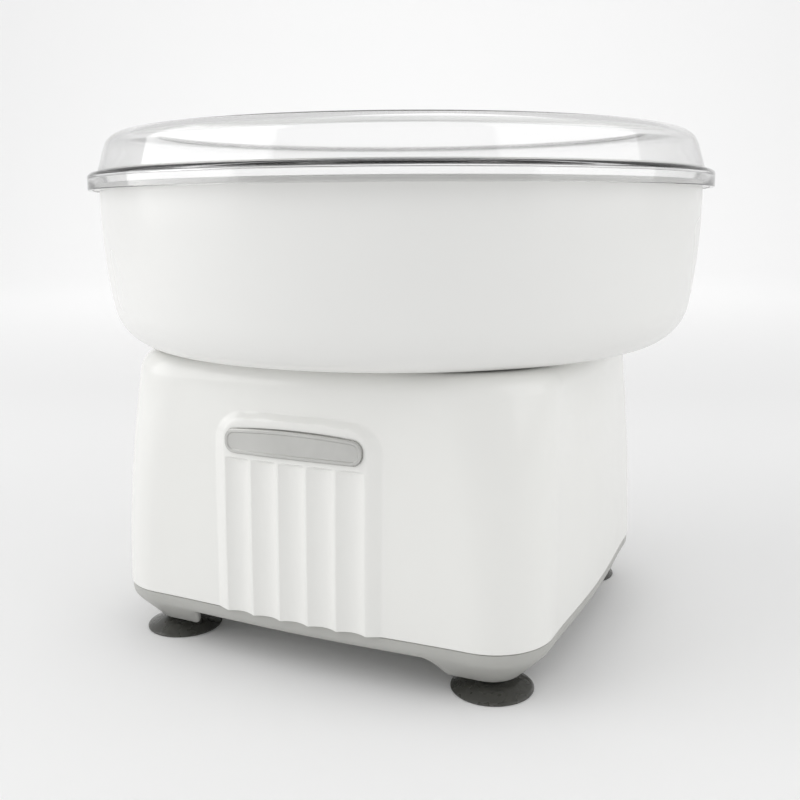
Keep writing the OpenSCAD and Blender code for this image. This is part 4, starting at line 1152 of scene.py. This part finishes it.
def machined_brass():
    """Machined brass: yellow, with bright turning marks."""
    return lined_metal("machined_brass", pair("#c9a656", "#ae8c42"), (0.2, 0.34), 0.5, 0.01, "rings")


def pressed_ferrite():
    """Sintered ferrite: near-black, matt and gritty, with chipped corners' sparkle."""
    return moulded("pressed_ferrite", pair("#2d2e30", "#3a3b3e"), (0.55, 0.75), 0.5, 0.03, 4, IOR=2.2)


CAD_FINISHES = {
    "black_plastic": black_nylon, "natural_nylon": natural_nylon,
    "circuit_board": fibreglass_board, "lead_insulation": lead_pvc, "zinc_steel": zinc_plated_steel,
    "motor_steel": drawn_motor_steel, "polished_steel": ground_steel, "heater_steel": oxidised_heater_sheath,
    "aluminium": spun_aluminium, "bronze": sintered_bronze, "copper": wound_copper, "brass": machined_brass,
    "ferrite": pressed_ferrite, "ceramic": glazed_steatite, "black_rubber": black_grommet_rubber,
}
NODE_FINISHES = {"armature_core": stacked_laminations, "commutator": machined_brass}


def finish_for(make):
    """The material that a finish function makes, made once."""
    if make.__name__ not in bpy.data.materials:
        make()
    return bpy.data.materials[make.__name__]


# ---- Operators -------------------------------------------------------------------------


class FLOSS_OT_stage(bpy.types.Operator):
    """Sets the pale floor, the soft lights and the camera"""

    bl_idname = "floss.stage"
    bl_label = "Stage"

    def execute(self, context):
        lights = context.scene.floss_lights
        self.add_floor()
        subject = (0, 0, 0.12)
        self.add_light("key_softbox", lights.key, (-1.4, -0.95, 0.95), 1.8, subject)
        self.add_light("fill_softbox", lights.fill, (1.6, 0.1, 0.95), 1.7, subject)
        self.add_light("top_softbox", lights.top, (0.1, 0.35, 1.7), 1.2, subject)
        self.add_light("paper_softbox", lights.paper, (-0.7, 1.4, 2.3), 1.5, (-1.8, 4.3, 1.0))
        self.add_sky(context, lights.sky)
        self.add_camera(context)
        context.scene.view_settings.view_transform = "Standard"
        return {"FINISHED"}

    def add_floor(self):
        """Pale paper that lies flat and curves up all round, so no edge or corner shows."""
        flat, sweep = 2600, 2400
        floor = spun([(0, 0), (flat, 0)] + arc(flat, sweep, sweep, -90, 0, 16)[1:], 96, closed=False)
        select_only(floor)
        bpy.ops.object.shade_smooth()
        floor.name = "paper_floor"
        floor.data.materials.append(moulded(
            "matt_white_paper", pair("#f4f4f4", "#f3f3f3"), (0.85, 0.95), 4, 0.01, 900))

    def add_light(self, name, power, place, size, target):
        """A square soft light aimed at a target."""
        data = bpy.data.lights.new(name, "AREA")
        data.energy = power
        data.size = size
        light = bpy.data.objects.new(name, data)
        light.location = place
        aim = Vector(target) - light.location
        light.rotation_euler = aim.to_track_quat("-Z", "Y").to_euler()
        bpy.context.scene.collection.objects.link(light)

    def add_sky(self, context, strength):
        """Even light from all round."""
        world = bpy.data.worlds.new("studio_sky")
        world.use_nodes = True
        background = world.node_tree.nodes["Background"]
        background.inputs["Color"].default_value = (1, 1, 1, 1)
        background.inputs["Strength"].default_value = strength
        context.scene.world = world

    def add_camera(self, context):
        """The camera, to the right of the front and a little above the bowl."""
        data = bpy.data.cameras.new("camera")
        data.lens = 43.38
        data.sensor_width = 36
        camera = bpy.data.objects.new("camera", data)
        turn = Matrix.Rotation(radians(24.985), 4, "Z") @ Matrix.Rotation(radians(79.075), 4, "X")
        turn = turn @ Matrix.Rotation(radians(-0.349), 4, "Z")
        camera.matrix_world = Matrix.Translation((0.20803, -0.44918, 0.20002)) @ turn
        context.scene.collection.objects.link(camera)
        context.scene.camera = camera


class FLOSS_OT_housing(bpy.types.Operator):
    """Models the housing with its fluted panel and rear seats"""

    bl_idname = "floss.housing"
    bl_label = "Housing"

    def execute(self, context):
        look = context.scene.floss_colours
        shell = model_housing(sizes(), look.flutes)
        white = glossy_white_abs(look.housing)
        finish_piece(shell, "housing_shell", white, "stand", ["housing"], 27)
        return {"FINISHED"}


class FLOSS_OT_badge(bpy.types.Operator):
    """Models the blank badge above the flutes"""

    bl_idname = "floss.badge"
    bl_label = "Badge"

    def execute(self, context):
        look = context.scene.floss_colours
        badge = model_badge(sizes())
        silver = metallised_abs_badge(look.badge)
        finish_piece(badge, "badge_plate", silver, "stand", ["badge"], 35)
        return {"FINISHED"}


class FLOSS_OT_base(bpy.types.Operator):
    """Models the base and its four suction feet"""

    bl_idname = "floss.base"
    bl_label = "Base and feet"

    def execute(self, context):
        look = context.scene.floss_colours
        base = model_base(sizes())
        finish_piece(base, "base_tray", grained_grey_abs(look.base), "stand", ["base"], 35)
        rubber = smoky_soft_pvc(look.foot)
        for node in FOOT_NODES:
            foot = model_foot(*middle_of(node)[:2])
            name = node.replace("suction_foot", "cup_foot")
            finish_piece(foot, name, rubber, "stand", [node], 35)
        return {"FINISHED"}


class FLOSS_OT_bowl(bpy.types.Operator):
    """Models the bowl and its clear splash guard"""

    bl_idname = "floss.bowl"
    bl_label = "Bowl and guard"

    def execute(self, context):
        look = context.scene.floss_colours
        bowl = model_bowl(sizes())
        white = satin_white_polypropylene(look.bowl)
        finish_piece(bowl, "bowl_shell", white, "bowl", ["bowl"], 40)
        guard = model_guard(sizes())
        clear = clear_acrylic()
        finish_piece(guard, "guard_ring", clear, "splash_guard", ["splash_guard"], 40)
        return {"FINISHED"}


class FLOSS_OT_head(bpy.types.Operator):
    """Models the spinner head's pan and cap"""

    bl_idname = "floss.head"
    bl_label = "Spinner head"

    def execute(self, context):
        metal = finish_for(spun_aluminium)
        finish_piece(model_head_cap(), "spinner_cap", metal, "spinner_head", ["head_cap"], 40)
        finish_piece(model_head_pan(), "spinner_pan", metal, "spinner_head", ["head_pan"], 40)
        return {"FINISHED"}


class FLOSS_OT_fittings(bpy.types.Operator):
    """Models the power switch and the lead inlet at the rear"""

    bl_idname = "floss.fittings"
    bl_label = "Rear fittings"

    def execute(self, context):
        black = finish_for(black_nylon)
        finish_piece(model_switch_frame(), "switch_bezel", black, "stand", ["switch_frame"])
        rocker, marks = model_rocker()
        key, body = finish_for(glossy_black_abs), "switch_rocker"
        finish_piece(rocker, "rocker_key", key, body, ["switch_rocker"])
        finish_piece(marks, "rocker_marks", finish_for(white_pad_print), body)
        finish_piece(model_inlet_bush(), "lead_bush", black, "stand", ["inlet_bush"], 40)
        return {"FINISHED"}


class FLOSS_OT_screws(bpy.types.Operator):
    """Models the cross-head screws that can be seen"""

    bl_idname = "floss.screws"
    bl_label = "Screws"

    def execute(self, context):
        steel = finish_for(zinc_plated_steel)
        kinds = {
            "base_screws": ("base_fixing_screws", "stand", 3.8, 2.6, 1.5, 11, False),
            "dish_screws": ("dish_fixing_screws", "stand", 2.4, 1.4, 1.5, 6, True),
            "head_screws": ("head_fixing_screws", "spinner_head", 2.6, 1.6, 1.25, 20, True),
        }
        for node, (name, body, head_r, head_h, shank_r, shank, upward) in kinds.items():
            low, high = box_mm(node)
            seat = high.z - head_h if upward else low.z + head_h
            screws = place_screws(node, model_screw(head_r, head_h, shank_r, shank), seat, upward)
            finish_piece(screws, name, steel, body, [node], 35)
        return {"FINISHED"}


class FLOSS_OT_inner_parts(bpy.types.Operator):
    """Finishes the parts inside the housing that keep their CAD shape"""

    bl_idname = "floss.inner_parts"
    bl_label = "Inner parts"

    def execute(self, context):
        for part in frame["record"]["subparts"]:
            name, slot = part["node"], part["material_slot"]
            node = frame["nodes"][name]
            make = NODE_FINISHES.get(name, CAD_FINISHES.get(slot))
            if make is None:
                continue
            material = finish_for(make)
            for index in range(len(node.data.materials)):
                node.data.materials[index] = material
        return {"FINISHED"}


class FLOSS_PT_panel(bpy.types.Panel):
    """Lists the sizes, colours and steps of the maker"""

    bl_idname = "FLOSS_PT_panel"
    bl_label = "Candy Floss Maker"
    bl_space_type = "VIEW_3D"
    bl_region_type = "UI"
    bl_category = "Floss Maker"

    def draw(self, context):
        scene = context.scene
        for group in (scene.floss_sizes, scene.floss_colours, scene.floss_lights):
            column = self.layout.column(align=True)
            for key in type(group).__annotations__:
                column.prop(group, key)
        for step in STEPS:
            self.layout.operator(step.bl_idname)


STEPS = (
    FLOSS_OT_stage, FLOSS_OT_housing, FLOSS_OT_badge, FLOSS_OT_base, FLOSS_OT_bowl, FLOSS_OT_head,
    FLOSS_OT_fittings, FLOSS_OT_screws, FLOSS_OT_inner_parts,
)
CLASSES = (ShellSizes, ShellColours, StageLights) + STEPS + (FLOSS_PT_panel,)


def register():
    """Registers the add-on's classes and its settings on the scene."""
    for item in CLASSES:
        bpy.utils.register_class(item)
    bpy.types.Scene.floss_sizes = PointerProperty(type=ShellSizes)
    bpy.types.Scene.floss_colours = PointerProperty(type=ShellColours)
    bpy.types.Scene.floss_lights = PointerProperty(type=StageLights)


def unregister():
    """Takes the settings off the scene and unregisters the classes."""
    del bpy.types.Scene.floss_lights
    del bpy.types.Scene.floss_colours
    del bpy.types.Scene.floss_sizes
    for item in reversed(CLASSES):
        bpy.utils.unregister_class(item)


def main():
    """Builds the whole object and its stage."""
    register()
    for step in STEPS:
        group, name = step.bl_idname.split(".")
        getattr(getattr(bpy.ops, group), name)()


if __name__ == "__main__":
    main()
